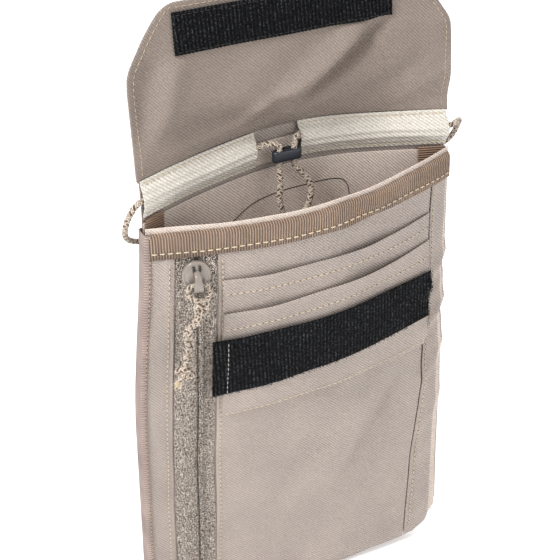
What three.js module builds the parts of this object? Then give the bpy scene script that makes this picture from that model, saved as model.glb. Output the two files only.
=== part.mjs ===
// Neck pouch wallet, held open and hanging from the cord band at its fold.
// Millimetres, +X right, -Y front, +Z up. The origin is the middle of the cord band.
import * as THREE from 'three';

// ---- overall shape ----
const MOUTH_Z = -10;            // rim of the main compartment at the side seams
const BOTTOM_Z = -217;          // lower edge of the pouch
const HALF_WIDTH_TOP = 68;
const HALF_WIDTH_BOTTOM = 71;
const CORNER_RADIUS = 21;       // rounded lower corners
const BACK_BOW_TOP = 14;        // how far the open back stands out at mid-width
const BACK_BOW_BOTTOM = 1.5;
const FRONT_BOW_TOP = 17;       // the same for the front
const FRONT_BOW_BOTTOM = 2.5;
const EDGE_U = 0.985;           // where the cloth ends, as a share of the half width

// ---- cord band and lid ----
const BAND_HALF_HEIGHT = 7.5;
const LID_BOTTOM_Z = 14.3;
const LID_HINGE_Z = 40;         // the crease half way up the lid
const LID_HINGE_GAP = 1.2;
const LID_TOP_Z = 74;
const LID_CHAMFER_Z = 49.5;
const LID_CHAMFER_HALF_WIDTH = 53;
const LID_LEAN = Math.tan(THREE.MathUtils.degToRad(5.5));
const LID_LEAN_START_Z = -8;
const LID_FLAT_Z = 36;

// ---- cords and fittings ----
const NECK_CORD_DIAMETER = 2.2;
const PULLER_CORD_DIAMETER = 2.2;
const ZIP_U = -0.751;           // centre line of the zip across the front
const SLIDER_Z = -35;
const SLIDER_TURN = THREE.MathUtils.degToRad(-11);

const group = new THREE.Group();
group.name = 'neck_pouch_wallet';

const cloth = { color: 0xb8ac9f, roughness: 0.85, metalness: 0 };
const innerCloth = { color: 0xaca093, roughness: 0.88, metalness: 0 };
const tan = { color: 0xb8977b, roughness: 0.9, metalness: 0 };
const edging = { color: 0xb0a096, roughness: 0.9, metalness: 0 };
const webbing = { color: 0xdedbd0, roughness: 0.85, metalness: 0 };
const zipCloth = { color: 0x8c837a, roughness: 0.85, metalness: 0 };
const hookLoop = { color: 0x1e2024, roughness: 0.95, metalness: 0 };
const metal = { color: 0x96918a, roughness: 0.4, metalness: 0.8 };
const cordCloth = { color: 0xc9bda8, roughness: 0.9, metalness: 0 };
const plastic = { color: 0x23262b, roughness: 0.5, metalness: 0 };

function addNode(name, geometry, look) {
  const mesh = new THREE.Mesh(geometry, new THREE.MeshStandardMaterial(look));
  mesh.name = name;
  group.add(mesh);
}

// ---- the two curved faces of the pouch ----
function depthShare(z) {
  return THREE.MathUtils.clamp((MOUTH_Z - z) / (MOUTH_Z - BOTTOM_Z), 0, 1);
}

function halfWidth(z) {
  return THREE.MathUtils.lerp(HALF_WIDTH_TOP, HALF_WIDTH_BOTTOM, depthShare(z));
}

function crossShare(u) {
  return Math.cos(u * Math.PI / 2);
}

// Inner face of the back. Above the band the bow dies away into the flat, leaning lid.
function backY(u, z) {
  if (z <= BAND_HALF_HEIGHT) {
    return THREE.MathUtils.lerp(BACK_BOW_TOP, BACK_BOW_BOTTOM, depthShare(z)) * crossShare(u);
  }
  const fade = Math.max(0, (LID_FLAT_Z - z) / (LID_FLAT_Z - BAND_HALF_HEIGHT));
  return BACK_BOW_TOP * fade * fade * crossShare(u) + (z - LID_LEAN_START_Z) * LID_LEAN;
}

// Inner face of the front.
function frontY(u, z) {
  const bow = THREE.MathUtils.lerp(FRONT_BOW_TOP, FRONT_BOW_BOTTOM, depthShare(z));
  return -0.5 - bow * crossShare(u);
}

function backLayer(u, z, depth) {
  return backY(u, z) + 0.5 + depth;
}

function frontLayer(u, z, depth) {
  return frontY(u, z) - depth;
}

// Lower edge of a panel at one column, following the rounded corner.
function cornerZ(u, inset) {
  const x = Math.abs(u) * HALF_WIDTH_BOTTOM;
  const centre = HALF_WIDTH_BOTTOM - CORNER_RADIUS;
  const across = Math.min(Math.max(0, x - centre), CORNER_RADIUS - 0.5);
  return BOTTOM_Z + CORNER_RADIUS - Math.sqrt(CORNER_RADIUS ** 2 - across ** 2) + inset;
}

// ---- closed bodies ----
function signedVolume(points, triangles) {
  let total = 0;
  for (let i = 0; i < triangles.length; i += 3) {
    const a = points[triangles[i]];
    const b = points[triangles[i + 1]];
    const c = points[triangles[i + 2]];
    total += a.dot(b.clone().cross(c));
  }
  return total;
}

// Points that coincide are shared, and faces that shrink to nothing are dropped.
function closedBody(corners, triangles) {
  const points = [];
  const seen = new Map();
  const index = corners.map((p) => {
    const key = p.toArray().map((c) => c.toFixed(4)).join(' ');
    if (!seen.has(key)) {
      seen.set(key, points.length);
      points.push(p);
    }
    return seen.get(key);
  });
  const faces = [];
  for (let i = 0; i < triangles.length; i += 3) {
    const [a, b, c] = [index[triangles[i]], index[triangles[i + 1]], index[triangles[i + 2]]];
    if (a !== b && b !== c && c !== a) {
      faces.push(a, b, c);
    }
  }
  if (signedVolume(points, faces) < 0) {
    faces.reverse();
  }
  const geometry = new THREE.BufferGeometry();
  geometry.setAttribute('position', new THREE.Float32BufferAttribute(points.flatMap((p) => p.toArray()), 3));
  geometry.setIndex(faces);
  geometry.computeVertexNormals();
  return geometry;
}

// A sheet of columns and levels with a thickness. place(u, level, side) gives a point;
// side is 0 on the outer face and 1 on the inner face.
function sheet(columns, levels, place) {
  const points = [];
  for (let side = 0; side < 2; side += 1) {
    for (const u of columns) {
      for (const level of levels) {
        points.push(place(u, level, side));
      }
    }
  }
  const count = columns.length;
  const rows = levels.length - 1;
  const at = (side, i, j) => (side * count + i) * (rows + 1) + j;
  const faces = [];
  const quad = (a, b, c, d) => faces.push(a, b, c, a, c, d);
  for (let i = 0; i + 1 < count; i += 1) {
    for (let j = 0; j < rows; j += 1) {
      quad(at(0, i, j), at(0, i + 1, j), at(0, i + 1, j + 1), at(0, i, j + 1));
      quad(at(1, i, j), at(1, i, j + 1), at(1, i + 1, j + 1), at(1, i + 1, j));
    }
    quad(at(0, i, 0), at(1, i, 0), at(1, i + 1, 0), at(0, i + 1, 0));
    quad(at(0, i, rows), at(0, i + 1, rows), at(1, i + 1, rows), at(1, i, rows));
  }
  const last = count - 1;
  for (let j = 0; j < rows; j += 1) {
    quad(at(0, 0, j), at(0, 0, j + 1), at(1, 0, j + 1), at(1, 0, j));
    quad(at(0, last, j), at(1, last, j), at(1, last, j + 1), at(0, last, j + 1));
  }
  return closedBody(points, faces);
}

// A closed outline carried through a list of stations, with flat end caps.
function loft(outline, stations, place) {
  const points = [];
  for (const station of stations) {
    for (const [a, b] of outline) {
      points.push(place(station, a, b));
    }
  }
  const count = outline.length;
  const faces = [];
  for (let k = 0; k + 1 < stations.length; k += 1) {
    for (let i = 0; i < count; i += 1) {
      const next = (i + 1) % count;
      const low = k * count;
      const high = low + count;
      faces.push(low + i, high + i, high + next, low + i, high + next, low + next);
    }
  }
  const contour = outline.map(([a, b]) => new THREE.Vector2(a, b));
  const clockwise = THREE.ShapeUtils.isClockWise(contour);
  const end = (stations.length - 1) * count;
  for (const [a, b, c] of THREE.ShapeUtils.triangulateShape(contour, [])) {
    const cap = clockwise ? [a, c, b] : [a, b, c];
    faces.push(cap[0], cap[1], cap[2]);
    faces.push(end + cap[0], end + cap[2], end + cap[1]);
  }
  if (clockwise) {
    for (let k = 0; k < (stations.length - 1) * count * 6; k += 3) {
      [faces[k + 1], faces[k + 2]] = [faces[k + 2], faces[k + 1]];
    }
  }
  return closedBody(points, faces);
}

function steps(from, to, count) {
  return Array.from({ length: count + 1 }, (_, i) => THREE.MathUtils.lerp(from, to, i / count));
}

// Every sheet shares these columns and levels, so that stacked layers run parallel.
const SHARED_U = [-0.93, -0.86, -0.78, ...steps(-0.7, 0.7, 14), 0.78, 0.86, 0.93];
const SHARED_Z = [...steps(-210, -35, 7), MOUTH_Z];

function gridBetween(shared, from, to, margin) {
  const inner = shared.filter((value) => value > from + margin && value < to - margin);
  return [from, ...inner, to];
}

function columnsTo(from, to) {
  return gridBetween(SHARED_U, from, to, 0.004);
}

function levelsTo(low, high) {
  return gridBetween(SHARED_Z, low, high, 2);
}

function frontPanel(name, look, from, to, low, high, inner, outer) {
  addNode(name, sheet(columnsTo(from, to), levelsTo(low, high), (u, level, side) => {
    const z = Math.max(level, cornerZ(u, 3));
    return new THREE.Vector3(u * halfWidth(z), frontLayer(u, z, side ? inner : outer), z);
  }), look);
}

function backPanel(name, look, low, high, inner, outer) {
  addNode(name, sheet(columnsTo(-EDGE_U, EDGE_U), levelsTo(low, high), (u, level, side) => {
    const z = Math.max(level, cornerZ(u, 3));
    return new THREE.Vector3(u * halfWidth(z), backLayer(u, z, side ? outer : inner), z);
  }), look);
}

// ---- back of the pouch ----
backPanel('back_panel', cloth, BOTTOM_Z, BAND_HALF_HEIGHT, 0.9, 1.7);
backPanel('back_lining', innerCloth, BOTTOM_Z, MOUTH_Z, 0, 0.6);

// ---- front of the pouch ----
const PANEL_TOP_Z = -13.6;
frontPanel('front_lining', innerCloth, -EDGE_U, EDGE_U, BOTTOM_Z, PANEL_TOP_Z, 0, 0.5);
frontPanel('zip_pocket_bag', innerCloth, -0.95, 0.78, -207, -27, 0.8, 1.2);
frontPanel('front_left_strip', cloth, -EDGE_U, -0.868, BOTTOM_Z, PANEL_TOP_Z, 1.5, 2.2);
frontPanel('zip_tape_left', zipCloth, -0.862, -0.7545, BOTTOM_Z, PANEL_TOP_Z, 1.5, 1.9);
frontPanel('zip_tape_right', zipCloth, -0.7475, -0.64, BOTTOM_Z, PANEL_TOP_Z, 1.5, 1.9);
frontPanel('zip_coil_left', zipCloth, -0.776, -0.7545, -209, -27, 2.2, 2.9);
frontPanel('zip_coil_right', zipCloth, -0.7475, -0.726, -209, -27, 2.2, 2.9);
frontPanel('front_main_panel', cloth, -0.634, 0.826, BOTTOM_Z, PANEL_TOP_Z, 1.5, 2.2);
frontPanel('front_right_strip', cloth, 0.832, EDGE_U, BOTTOM_Z, PANEL_TOP_Z, 1.5, 2.2);
frontPanel('card_pocket_upper', cloth, -0.61, 0.82, -103, -35, 2.5, 3.0);
frontPanel('card_pocket_middle', cloth, -0.61, 0.82, -103, -51, 3.3, 3.8);
frontPanel('card_pocket_lower', cloth, -0.61, 0.82, -103, -65.5, 4.1, 4.6);
frontPanel('loop_strip', hookLoop, -0.63, 0.824, -91, -66, 4.9, 6.4);

// Tan tape folded over the front rim: outer leg, fold and inner leg.
const rimOutline = [
  [2.5, -24], [3.1, -24], [3.1, -12.8], [2.6, -12.2], [-0.3, -12.2], [-0.8, -12.8],
  [-0.8, -22], [-0.3, -22], [-0.3, -13.2], [2.5, -13.2],
];
addNode('mouth_binding', loft(rimOutline, columnsTo(-EDGE_U, EDGE_U), (u, depth, z) => (
  new THREE.Vector3(u * halfWidth(z), frontLayer(u, z, depth), z)
)), tan);

// Ribbed tapes that cover the side seams just inside the mouth.
for (const [name, from, to] of [
  ['inner_seam_tape_left', -0.965, -0.86],
  ['inner_seam_tape_right', 0.86, 0.965],
]) {
  addNode(name, sheet(columnsTo(from, to), [-60, -35, MOUTH_Z - 1], (u, z, side) => {
    return new THREE.Vector3(u * halfWidth(z), backLayer(u, z, side ? -0.3 : -0.7), z);
  }), tan);
}

// ---- edge bindings ----
// Stations run down one side and round its lower corner: position and outward direction.
function edgeStations(sign, from, turn) {
  const list = [];
  for (const z of [from, -75, -135, BOTTOM_Z + CORNER_RADIUS]) {
    list.push({ x: sign * halfWidth(z) * EDGE_U, z, nx: sign, nz: 0 });
  }
  for (const angle of steps(0, turn, 6).slice(1)) {
    const nx = Math.cos(angle);
    const nz = -Math.sin(angle);
    list.push({
      x: sign * (HALF_WIDTH_BOTTOM * EDGE_U - CORNER_RADIUS + CORNER_RADIUS * nx),
      z: BOTTOM_Z + CORNER_RADIUS + (CORNER_RADIUS - 3) * nz,
      nx: sign * nx,
      nz,
    });
  }
  return list;
}

function edgePlace(station, out, y) {
  return new THREE.Vector3(station.x + station.nx * out, y, station.z + station.nz * out);
}

const bindingOutline = [
  [0.4, -4.2], [1.4, -4.2], [1.8, -3.6], [1.8, 3.2], [1.4, 3.8], [0.4, 3.8],
];
addNode('side_binding_left', loft(bindingOutline, edgeStations(-1, -12, Math.PI / 2), edgePlace), edging);
addNode('side_binding_right', loft(bindingOutline, edgeStations(1, -12, Math.PI / 2), edgePlace), edging);
const cornerInner = HALF_WIDTH_BOTTOM * EDGE_U - CORNER_RADIUS - 0.4;
const bottomStations = steps(-cornerInner, cornerInner, 2).map((x) => (
  { x, z: BOTTOM_Z + 3, nx: 0, nz: -1 }
));
const bottomOutline = [[0.4, -6], [1.4, -6], [1.8, -5.4], [1.8, 4.8], [1.4, 5.4], [0.4, 5.4]];
addNode('bottom_binding', loft(bottomOutline, bottomStations, edgePlace), edging);

// ---- cord band at the fold ----
const CORD_DEPTH = 1.9;         // centre of the cord in front of the back cloth
const channelOutline = [
  [0, -7.5], [0.7, -7.5], [0.9, -4.2], [3.3, -2.2], [3.9, 0], [3.3, 2.2], [0.9, 4.2],
  [0.7, 7.5], [0, 7.5], [0, 3.4], [2.7, 1.6], [3.3, 0], [2.7, -1.6], [0, -3.4],
];
function bandPlace(u, forward, z) {
  return new THREE.Vector3(u * halfWidth(z), backLayer(u, z, 0.6 - forward), z);
}
addNode('channel_left', loft(channelOutline, columnsTo(-0.975, -0.265), bandPlace), webbing);
addNode('channel_right', loft(channelOutline, columnsTo(0.02, 0.975), bandPlace), webbing);
const hemOutline = [[0, -7.5], [0.8, -7.5], [0.8, 2.5], [0, 2.5]];
addNode('band_hem', loft(hemOutline, columnsTo(-0.255, 0.01), bandPlace), cloth);

// ---- lid ----
function lidTop(u, high) {
  const x = Math.abs(u) * HALF_WIDTH_TOP;
  const drop = (x - LID_CHAMFER_HALF_WIDTH) / (HALF_WIDTH_TOP * EDGE_U - LID_CHAMFER_HALF_WIDTH);
  const chamfer = THREE.MathUtils.lerp(LID_TOP_Z - 2, LID_CHAMFER_Z, Math.max(0, drop));
  return Math.min(high, x > LID_CHAMFER_HALF_WIDTH ? chamfer : LID_TOP_Z);
}

function lidPanel(name, look, low, high, inner, outer, rows) {
  const chamferU = LID_CHAMFER_HALF_WIDTH / HALF_WIDTH_TOP;
  const shared = [...SHARED_U, -chamferU, chamferU].sort((a, b) => a - b);
  const columns = gridBetween(shared, -EDGE_U, EDGE_U, 0.004);
  addNode(name, sheet(columns, steps(0, 1, rows), (u, v, side) => {
    const z = THREE.MathUtils.lerp(low, lidTop(u, high), v);
    return new THREE.Vector3(u * HALF_WIDTH_TOP, backLayer(u, z, side ? outer : inner), z);
  }), look);
}

lidPanel('lid_fold_outer', cloth, BAND_HALF_HEIGHT + 0.3, LID_BOTTOM_Z - 0.3, 0.9, 1.7, 2);
lidPanel('lid_fold_lining', innerCloth, BAND_HALF_HEIGHT + 0.3, LID_BOTTOM_Z - 0.3, 0, 0.6, 2);
lidPanel('lid_lower_outer', cloth, LID_BOTTOM_Z, LID_HINGE_Z - LID_HINGE_GAP, 0.9, 1.7, 5);
lidPanel('lid_lower_lining', innerCloth, LID_BOTTOM_Z, LID_HINGE_Z - LID_HINGE_GAP, 0, 0.6, 5);
lidPanel('lid_upper_outer', cloth, LID_HINGE_Z + LID_HINGE_GAP, LID_TOP_Z, 0.9, 1.7, 1);
lidPanel('lid_upper_lining', innerCloth, LID_HINGE_Z + LID_HINGE_GAP, LID_TOP_Z, 0, 0.6, 1);

const HOOK_LOW_Z = 53.6;
const HOOK_HIGH_Z = 70.2;
addNode('hook_strip', sheet([-0.71, 0.71], [HOOK_LOW_Z, HOOK_HIGH_Z], (u, z, side) => (
  new THREE.Vector3(u * HALF_WIDTH_TOP, backLayer(u, z, side ? -0.3 : -1.7), z)
)), hookLoop);

// ---- zip slider and its cord puller ----
const sliderX = ZIP_U * halfWidth(SLIDER_Z);
const sliderY = frontLayer(ZIP_U, SLIDER_Z, 3.4);
function placeOnZip(geometry) {
  geometry.rotateZ(SLIDER_TURN);
  geometry.translate(sliderX, sliderY, SLIDER_Z);
  return geometry;
}

// Domed shell: a lathe about the axis that points away from the cloth.
const domeProfile = [
  [0, 0], [5.6, 0], [5.9, 0.5], [5.5, 1.3], [4.2, 1.9], [2.2, 2.2], [0, 2.3],
].map(([r, h]) => new THREE.Vector2(r, h));
const dome = new THREE.LatheGeometry(domeProfile, 24);
dome.rotateX(Math.PI);
dome.scale(1, 1, 1.1);
addNode('zip_slider_body', placeOnZip(dome), metal);

// Arched bridge that carries the puller.
const bridge = new THREE.Shape();
bridge.moveTo(-4.6, 2.6);
bridge.lineTo(-3.4, 2.6);
bridge.lineTo(-3.0, 5.2);
bridge.lineTo(2.6, 5.6);
bridge.lineTo(3.0, 2.6);
bridge.lineTo(4.2, 2.6);
bridge.lineTo(3.8, 6.5);
bridge.lineTo(-4.0, 6.2);
const bridgeBody = new THREE.ExtrudeGeometry(bridge, { depth: 2.6, bevelEnabled: false });
bridgeBody.translate(0, 0, -1.3);
bridgeBody.rotateY(Math.PI / 2);
bridgeBody.rotateX(Math.PI);
addNode('zip_slider_bridge', placeOnZip(bridgeBody), metal);

function cord(name, points, diameter, stepCount, look = cordCloth, closed = false) {
  const section = new THREE.Shape();
  const sides = 8;
  for (let i = 0; i < sides; i += 1) {
    const angle = i * 2 * Math.PI / sides;
    const x = Math.cos(angle) * diameter / 2;
    const y = Math.sin(angle) * diameter / 2;
    if (i === 0) {
      section.moveTo(x, y);
    } else {
      section.lineTo(x, y);
    }
  }
  const path = new THREE.CatmullRomCurve3(points.map((p) => new THREE.Vector3(...p)), closed, 'centripetal');
  addNode(name, new THREE.ExtrudeGeometry(section, {
    steps: stepCount, extrudePath: path, bevelEnabled: false,
  }), look);
}

function ball(name, centre, radii, look = cordCloth) {
  const body = new THREE.SphereGeometry(1, 12, 8);
  body.scale(...radii);
  body.translate(...centre);
  addNode(name, body, look);
}

// Distances along the puller are measured down from the slider, forward from the cloth.
const pullerX = sliderX;
const pullerY = sliderY - 3.8;
const PULLER_Z = -35.4;          // the cord lies in the bridge along the hinge axis here
function besideBridge(distance) {
  return [
    pullerX + distance * Math.cos(SLIDER_TURN),
    pullerY + distance * Math.sin(SLIDER_TURN),
    PULLER_Z,
  ];
}
cord('zip_puller_loop', [
  [pullerX - 1.6, pullerY - 2.4, -44.2], [pullerX - 4.0, pullerY - 0.8, -40],
  besideBridge(-2.2), besideBridge(-1.1), besideBridge(0), besideBridge(1.1), besideBridge(2.2),
  [pullerX + 4.0, pullerY - 1.6, -40], [pullerX + 1.6, pullerY - 2.4, -44.2],
], 1.6, 26);
ball('zip_puller_knot_upper', [pullerX, pullerY - 2.2, -47.6], [3.0, 2.4, 2.6]);
cord('zip_puller_strand_left', [
  [pullerX - 1.3, pullerY - 2, -50.6], [pullerX - 3.4, pullerY - 1.6, -58],
  [pullerX - 3.8, pullerY - 1.4, -66], [pullerX - 3.4, pullerY - 1.2, -75.5],
], PULLER_CORD_DIAMETER, 8);
cord('zip_puller_strand_right', [
  [pullerX + 1.3, pullerY - 2, -50.6], [pullerX - 0.6, pullerY - 1.6, -58],
  [pullerX - 1.0, pullerY - 1.4, -66], [pullerX - 1.0, pullerY - 1.2, -75.5],
], PULLER_CORD_DIAMETER, 8);
ball('zip_puller_knot_lower', [pullerX - 2.4, pullerY - 1.2, -80.6], [3.6, 2.6, 4.6]);

// ---- neck cord ----
function inChannel(x, z = 0) {
  return [x, backLayer(x / HALF_WIDTH_TOP, z, 0.6 - CORD_DEPTH), z];
}
cord('neck_cord_left', [
  inChannel(-18.5), inChannel(-34), inChannel(-50), inChannel(-63),
  [-68.6, -0.2, -1.4], [-72.4, 0.4, -6.5], [-73.8, 2.2, -12.5], [-72.8, 5.2, -18.5],
  [-68.2, 8.4, -23], [-60, 11.6, -26], [-48, 14.6, -28.5], [-34, 17.6, -30.5],
  [-21, 19.4, -31.5], [-11.5, 20, -32],
], NECK_CORD_DIAMETER, 34);
cord('neck_cord_right', [
  inChannel(2.4), inChannel(18), inChannel(34), inChannel(50), inChannel(62),
  [68.4, -0.2, 1.0], [72.6, 1.0, 1.6], [74.4, 3.6, -1.5], [73, 6.6, -6.5],
  [68, 9.4, -12], [58, 12.6, -18], [45, 15.6, -23.5], [31, 18, -28],
  [19, 19.6, -31], [10.5, 20, -32],
], NECK_CORD_DIAMETER, 38);

// The rest of the neck cord: a tied hank behind the pouch, drawn as one rounded bundle.
const HANK_CENTRE = [0, 20.2, -53.5];
const hankOutline = [];
for (let i = 0; i < 12; i += 1) {
  const angle = i * Math.PI / 6;
  hankOutline.push([Math.cos(angle) * 9.5, Math.sin(angle) * 4.6]);
}
const hankStations = [
  [-21, 0.55], [-18.5, 0.86], [-13, 1], [-4.6, 0.9], [-2.8, 0.72], [2.8, 0.72], [4.6, 0.9],
  [13, 1], [17, 0.86], [19.5, 0.55],
].reverse();
addNode('neck_cord_hank', loft(hankOutline, hankStations, ([along, share], a, b) => (
  new THREE.Vector3(HANK_CENTRE[0] + a * share, HANK_CENTRE[1] + b * share, HANK_CENTRE[2] + along)
)), cordCloth);

// Ring of the same cord tied round the waist of the hank.
const tieRing = new THREE.TorusGeometry(1, 0.1, 8, 20);
tieRing.scale(8.2, 4.7, 10);
tieRing.translate(...HANK_CENTRE);
addNode('neck_cord_hank_tie', tieRing, cordCloth);

// ---- cord lock and the two cord tails ----
const LOCK = [-2.3, 8, 0.8];
const LOCK_HOLE_X = 3.3;
const lockShape = new THREE.Shape();
lockShape.moveTo(-5.6, -2.3);
lockShape.lineTo(5.6, -2.3);
lockShape.lineTo(6.4, -1.5);
lockShape.lineTo(6.4, 1.5);
lockShape.lineTo(5.6, 2.3);
lockShape.lineTo(-5.6, 2.3);
lockShape.lineTo(-6.4, 1.5);
lockShape.lineTo(-6.4, -1.5);
for (const side of [-1, 1]) {
  const hole = new THREE.Path();
  for (let i = 0; i < 10; i += 1) {
    const angle = i * Math.PI / 5;
    const x = side * LOCK_HOLE_X + Math.cos(angle) * 1.55;
    const y = Math.sin(angle) * 1.55;
    if (i === 0) {
      hole.moveTo(x, y);
    } else {
      hole.lineTo(x, y);
    }
  }
  lockShape.holes.push(hole);
}
const lockBody = new THREE.ExtrudeGeometry(lockShape, { depth: 5, bevelEnabled: false });
lockBody.translate(LOCK[0], LOCK[1], LOCK[2] - 2.5);
addNode('cord_lock', lockBody, plastic);

const leftHole = LOCK[0] - LOCK_HOLE_X;
const rightHole = LOCK[0] + LOCK_HOLE_X;
cord('cord_tail_left', [
  [-16.6, 12.0, 1.5], [-13.8, 9.8, 4.4], [-9.8, 8.4, 6.4], [leftHole, LOCK[1], 5.4],
  [leftHole, LOCK[1], 0.8], [leftHole, LOCK[1], -4], [-5.9, 6.6, -10], [-6.8, 5.4, -17],
  [-5.6, 4.6, -24], [-3.4, 4, -29.6],
], NECK_CORD_DIAMETER, 26);
cord('cord_tail_right', [
  [-0.4, 12.4, 1.2], [-0.2, 10.8, 4.6], [0.6, 9, 6.6], [rightHole, LOCK[1], 5],
  [rightHole, LOCK[1], 0.8], [rightHole, LOCK[1], -4], [4.6, 7, -9], [7.4, 6, -14],
  [6.6, 5, -20], [3.4, 4.4, -25.6], [-0.4, 4, -29.6],
], NECK_CORD_DIAMETER, 30);
ball('cord_tail_knot', [-1.9, 4, -33.4], [3.6, 2.8, 2.9]);

export default group;
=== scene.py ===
import math

import bpy
import numpy as np
from mathutils import Matrix, Vector


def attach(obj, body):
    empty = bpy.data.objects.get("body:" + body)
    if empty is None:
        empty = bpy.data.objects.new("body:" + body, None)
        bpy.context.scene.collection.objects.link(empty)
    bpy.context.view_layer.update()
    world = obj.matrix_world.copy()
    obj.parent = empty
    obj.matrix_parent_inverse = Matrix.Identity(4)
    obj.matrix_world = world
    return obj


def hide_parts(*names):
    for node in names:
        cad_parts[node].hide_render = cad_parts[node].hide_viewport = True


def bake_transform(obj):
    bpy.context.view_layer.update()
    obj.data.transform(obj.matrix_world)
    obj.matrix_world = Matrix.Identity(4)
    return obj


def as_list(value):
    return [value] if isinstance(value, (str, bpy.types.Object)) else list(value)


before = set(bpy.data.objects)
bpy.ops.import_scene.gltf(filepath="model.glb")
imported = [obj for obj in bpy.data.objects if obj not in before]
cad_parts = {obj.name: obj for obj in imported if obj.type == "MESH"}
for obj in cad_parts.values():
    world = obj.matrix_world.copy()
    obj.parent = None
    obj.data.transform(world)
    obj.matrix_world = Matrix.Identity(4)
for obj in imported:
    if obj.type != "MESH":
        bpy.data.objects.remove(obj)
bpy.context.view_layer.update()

MM = 0.001
PI = math.pi

# ---- camera
TARGET = Vector((-9.5, 0.0, -52.3)) * MM
AZIMUTH, ELEVATION, DISTANCE, ROLL = -24.0, 32.6, 622.2 * MM, -0.7
FOCAL_SHARE = 1500 / 560


def make_camera():
    a, e = math.radians(AZIMUTH), math.radians(ELEVATION)
    back = Vector((math.sin(a) * math.cos(e), -math.cos(a) * math.cos(e), math.sin(e)))
    right = (-back).cross(Vector((0, 0, 1))).normalized()
    up = right.cross(-back)
    r = math.radians(ROLL)
    side = right * math.cos(r) + up * math.sin(r)
    top = -right * math.sin(r) + up * math.cos(r)
    data = bpy.data.cameras.new("camera")
    data.sensor_width = 36
    data.lens = 36 * FOCAL_SHARE
    data.clip_start, data.clip_end = 0.01, 400
    cam = bpy.data.objects.new("camera", data)
    turn = Matrix((side, top, back)).transposed().to_4x4()
    cam.matrix_world = Matrix.Translation(TARGET + back * DISTANCE) @ turn
    bpy.context.collection.objects.link(cam)
    bpy.context.scene.camera = cam


make_camera()
bpy.context.scene.view_settings.view_transform = "Standard"


# ---- shape of the pouch (mm)
HALF, FOOT_HALF = 68, 71      # half the width at the mouth and at the foot, before the flare
MOUTH_Z, BOTTOM_Z = -10.0, -217.0
EDGE_U = 0.985                # shares of the half width: the cloth edge and the front seams
STRIP_U, MAIN_U, RIGHT_U, ZIP_U = -0.868, -0.634, 0.832, -0.751
TILT_X = 6                    # sewn rows that lie askew turn about this x
LID_FOOT = 7.4
CORNER = 21.0
FLARE = 6.0                   # how far the left edge spreads towards the foot
BAND_TOP = 7.5
FLOOR = BOTTOM_Z + 3          # where the cloth ends, away from the corners


def depth_share(z):
    return np.clip((MOUTH_Z - z) / (MOUTH_Z - BOTTOM_Z), 0, 1)


def half_width(z, left=0):
    """Half the width at a height; the left side hangs a little wider."""
    return HALF + (FOOT_HALF - HALF) * depth_share(z) + FLARE * np.asarray(left) * ramp(-z, 8, 110)


def across(u, z):
    """Where a line at a share of the half width lies; both side strips widen towards the foot."""
    u = np.asarray(u, float)
    spread = np.clip((-u - 0.75) / 0.235, 0, 1) ** 1.3
    seam = np.clip((u - 0.35) / 0.48, 0, 1) * np.clip((0.985 - u) / 0.155, 0, 1)
    zip_zone = np.clip((u + 0.985) / 0.11, 0, 1) * np.clip((-0.40 - u) / 0.20, 0, 1)
    zipped = 2.0 * (1 - ramp(-np.asarray(z), 20, 150)) * zip_zone
    flared = FLARE * ramp(-np.asarray(z), 8, 110) * spread
    return u * half_width(z) + zipped - flared - 6.0 * ramp(-np.asarray(z), 85, 215) * seam


def cross_share(u):
    return np.cos(np.clip(u, -1, 1) * PI / 2)


def points_of(x, y, z):
    return np.stack([x, y, z], -1)


def hill(v, centre, width):
    return np.exp(-((v - centre) / width) ** 2)


def ramp(v, low, high):
    t = np.clip((v - low) / (high - low), 0, 1)
    return t * t * (3 - 2 * t)


def waves(x, z, seed, length, count=7):
    """Smooth, repeatable unevenness of about unit size."""
    rng = np.random.RandomState(seed)
    total = 0
    for _ in range(count):
        k = 2 * PI / (length * rng.uniform(0.7, 1.6))
        a = rng.uniform(0, 2 * PI)
        total = total + np.sin(k * (x * math.cos(a) + z * math.sin(a)) + rng.uniform(0, 2 * PI))
    return total / math.sqrt(count)


def crease(x, z, a, b, width, height, fade=0.25):
    """A ridge (or valley) of cloth along the line from a to b."""
    ax, az = a
    bx, bz = b
    dx, dz = bx - ax, bz - az
    length = math.hypot(dx, dz)
    along = ((x - ax) * dx + (z - az) * dz) / length
    off = (-(x - ax) * dz + (z - az) * dx) / length
    t = along / length
    ends = ramp(t, -fade, fade) * (1 - ramp(t, 1 - fade, 1 + fade))
    return height * ends * np.exp(-(off / width) ** 2)


def creased(x, z, w, creases):
    for ridge in creases:
        w = w + crease(x, z, *ridge)
    return w


# Each row is a fold of the cloth: its two ends (x, z), its width and its height (negative in a valley).
FRONT_CREASES = (
    ((34, -108), (-10, -172), 5.5, 1.9), ((42, -116), (14, -162), 4.5, -1.7),
    ((50, -128), (20, -190), 5, 1.2), ((56, -160), (36, -200), 5, -1.0),
    ((72, -58), (54, -73), 2.6, 1.6), ((72, -66), (56, -80), 2.6, -1.1),
    ((72, -82), (55, -97), 2.8, 1.8), ((72, -90), (57, -104), 2.8, -1.2),
    ((72, -104), (56, -124), 3.2, 1.7), ((72, -132), (58, -150), 3.4, 1.2),
    ((-70, -100), (-60, -150), 3.2, 0.9), ((0, -16), (24, -34), 5, 0.9),
    ((12, -16), (34, -30), 4, -0.8),
)


def front_waves(x, z):
    """How far the front cloth stands proud of its even curve."""
    w = 0.55 * waves(x, z, 3, 46) * ramp(-z, 100, 130) + 0.25 * waves(x, z, 5, 30)
    w = creased(x, z, w, FRONT_CREASES)
    return w * ramp(72 - np.abs(x), 0, 3)


def front_y(x, z, depth=0.0):
    u = x / half_width(z, x < 0)
    bow = 17 + (2.5 - 17) * depth_share(z)
    return -0.5 - bow * cross_share(u) - depth - front_waves(x, z)


def back_waves(x, z):
    return (0.5 * waves(x, z, 11, 50) * ramp(-z, 0, 30)) * ramp(70 - np.abs(x), 0, 8)


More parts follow.
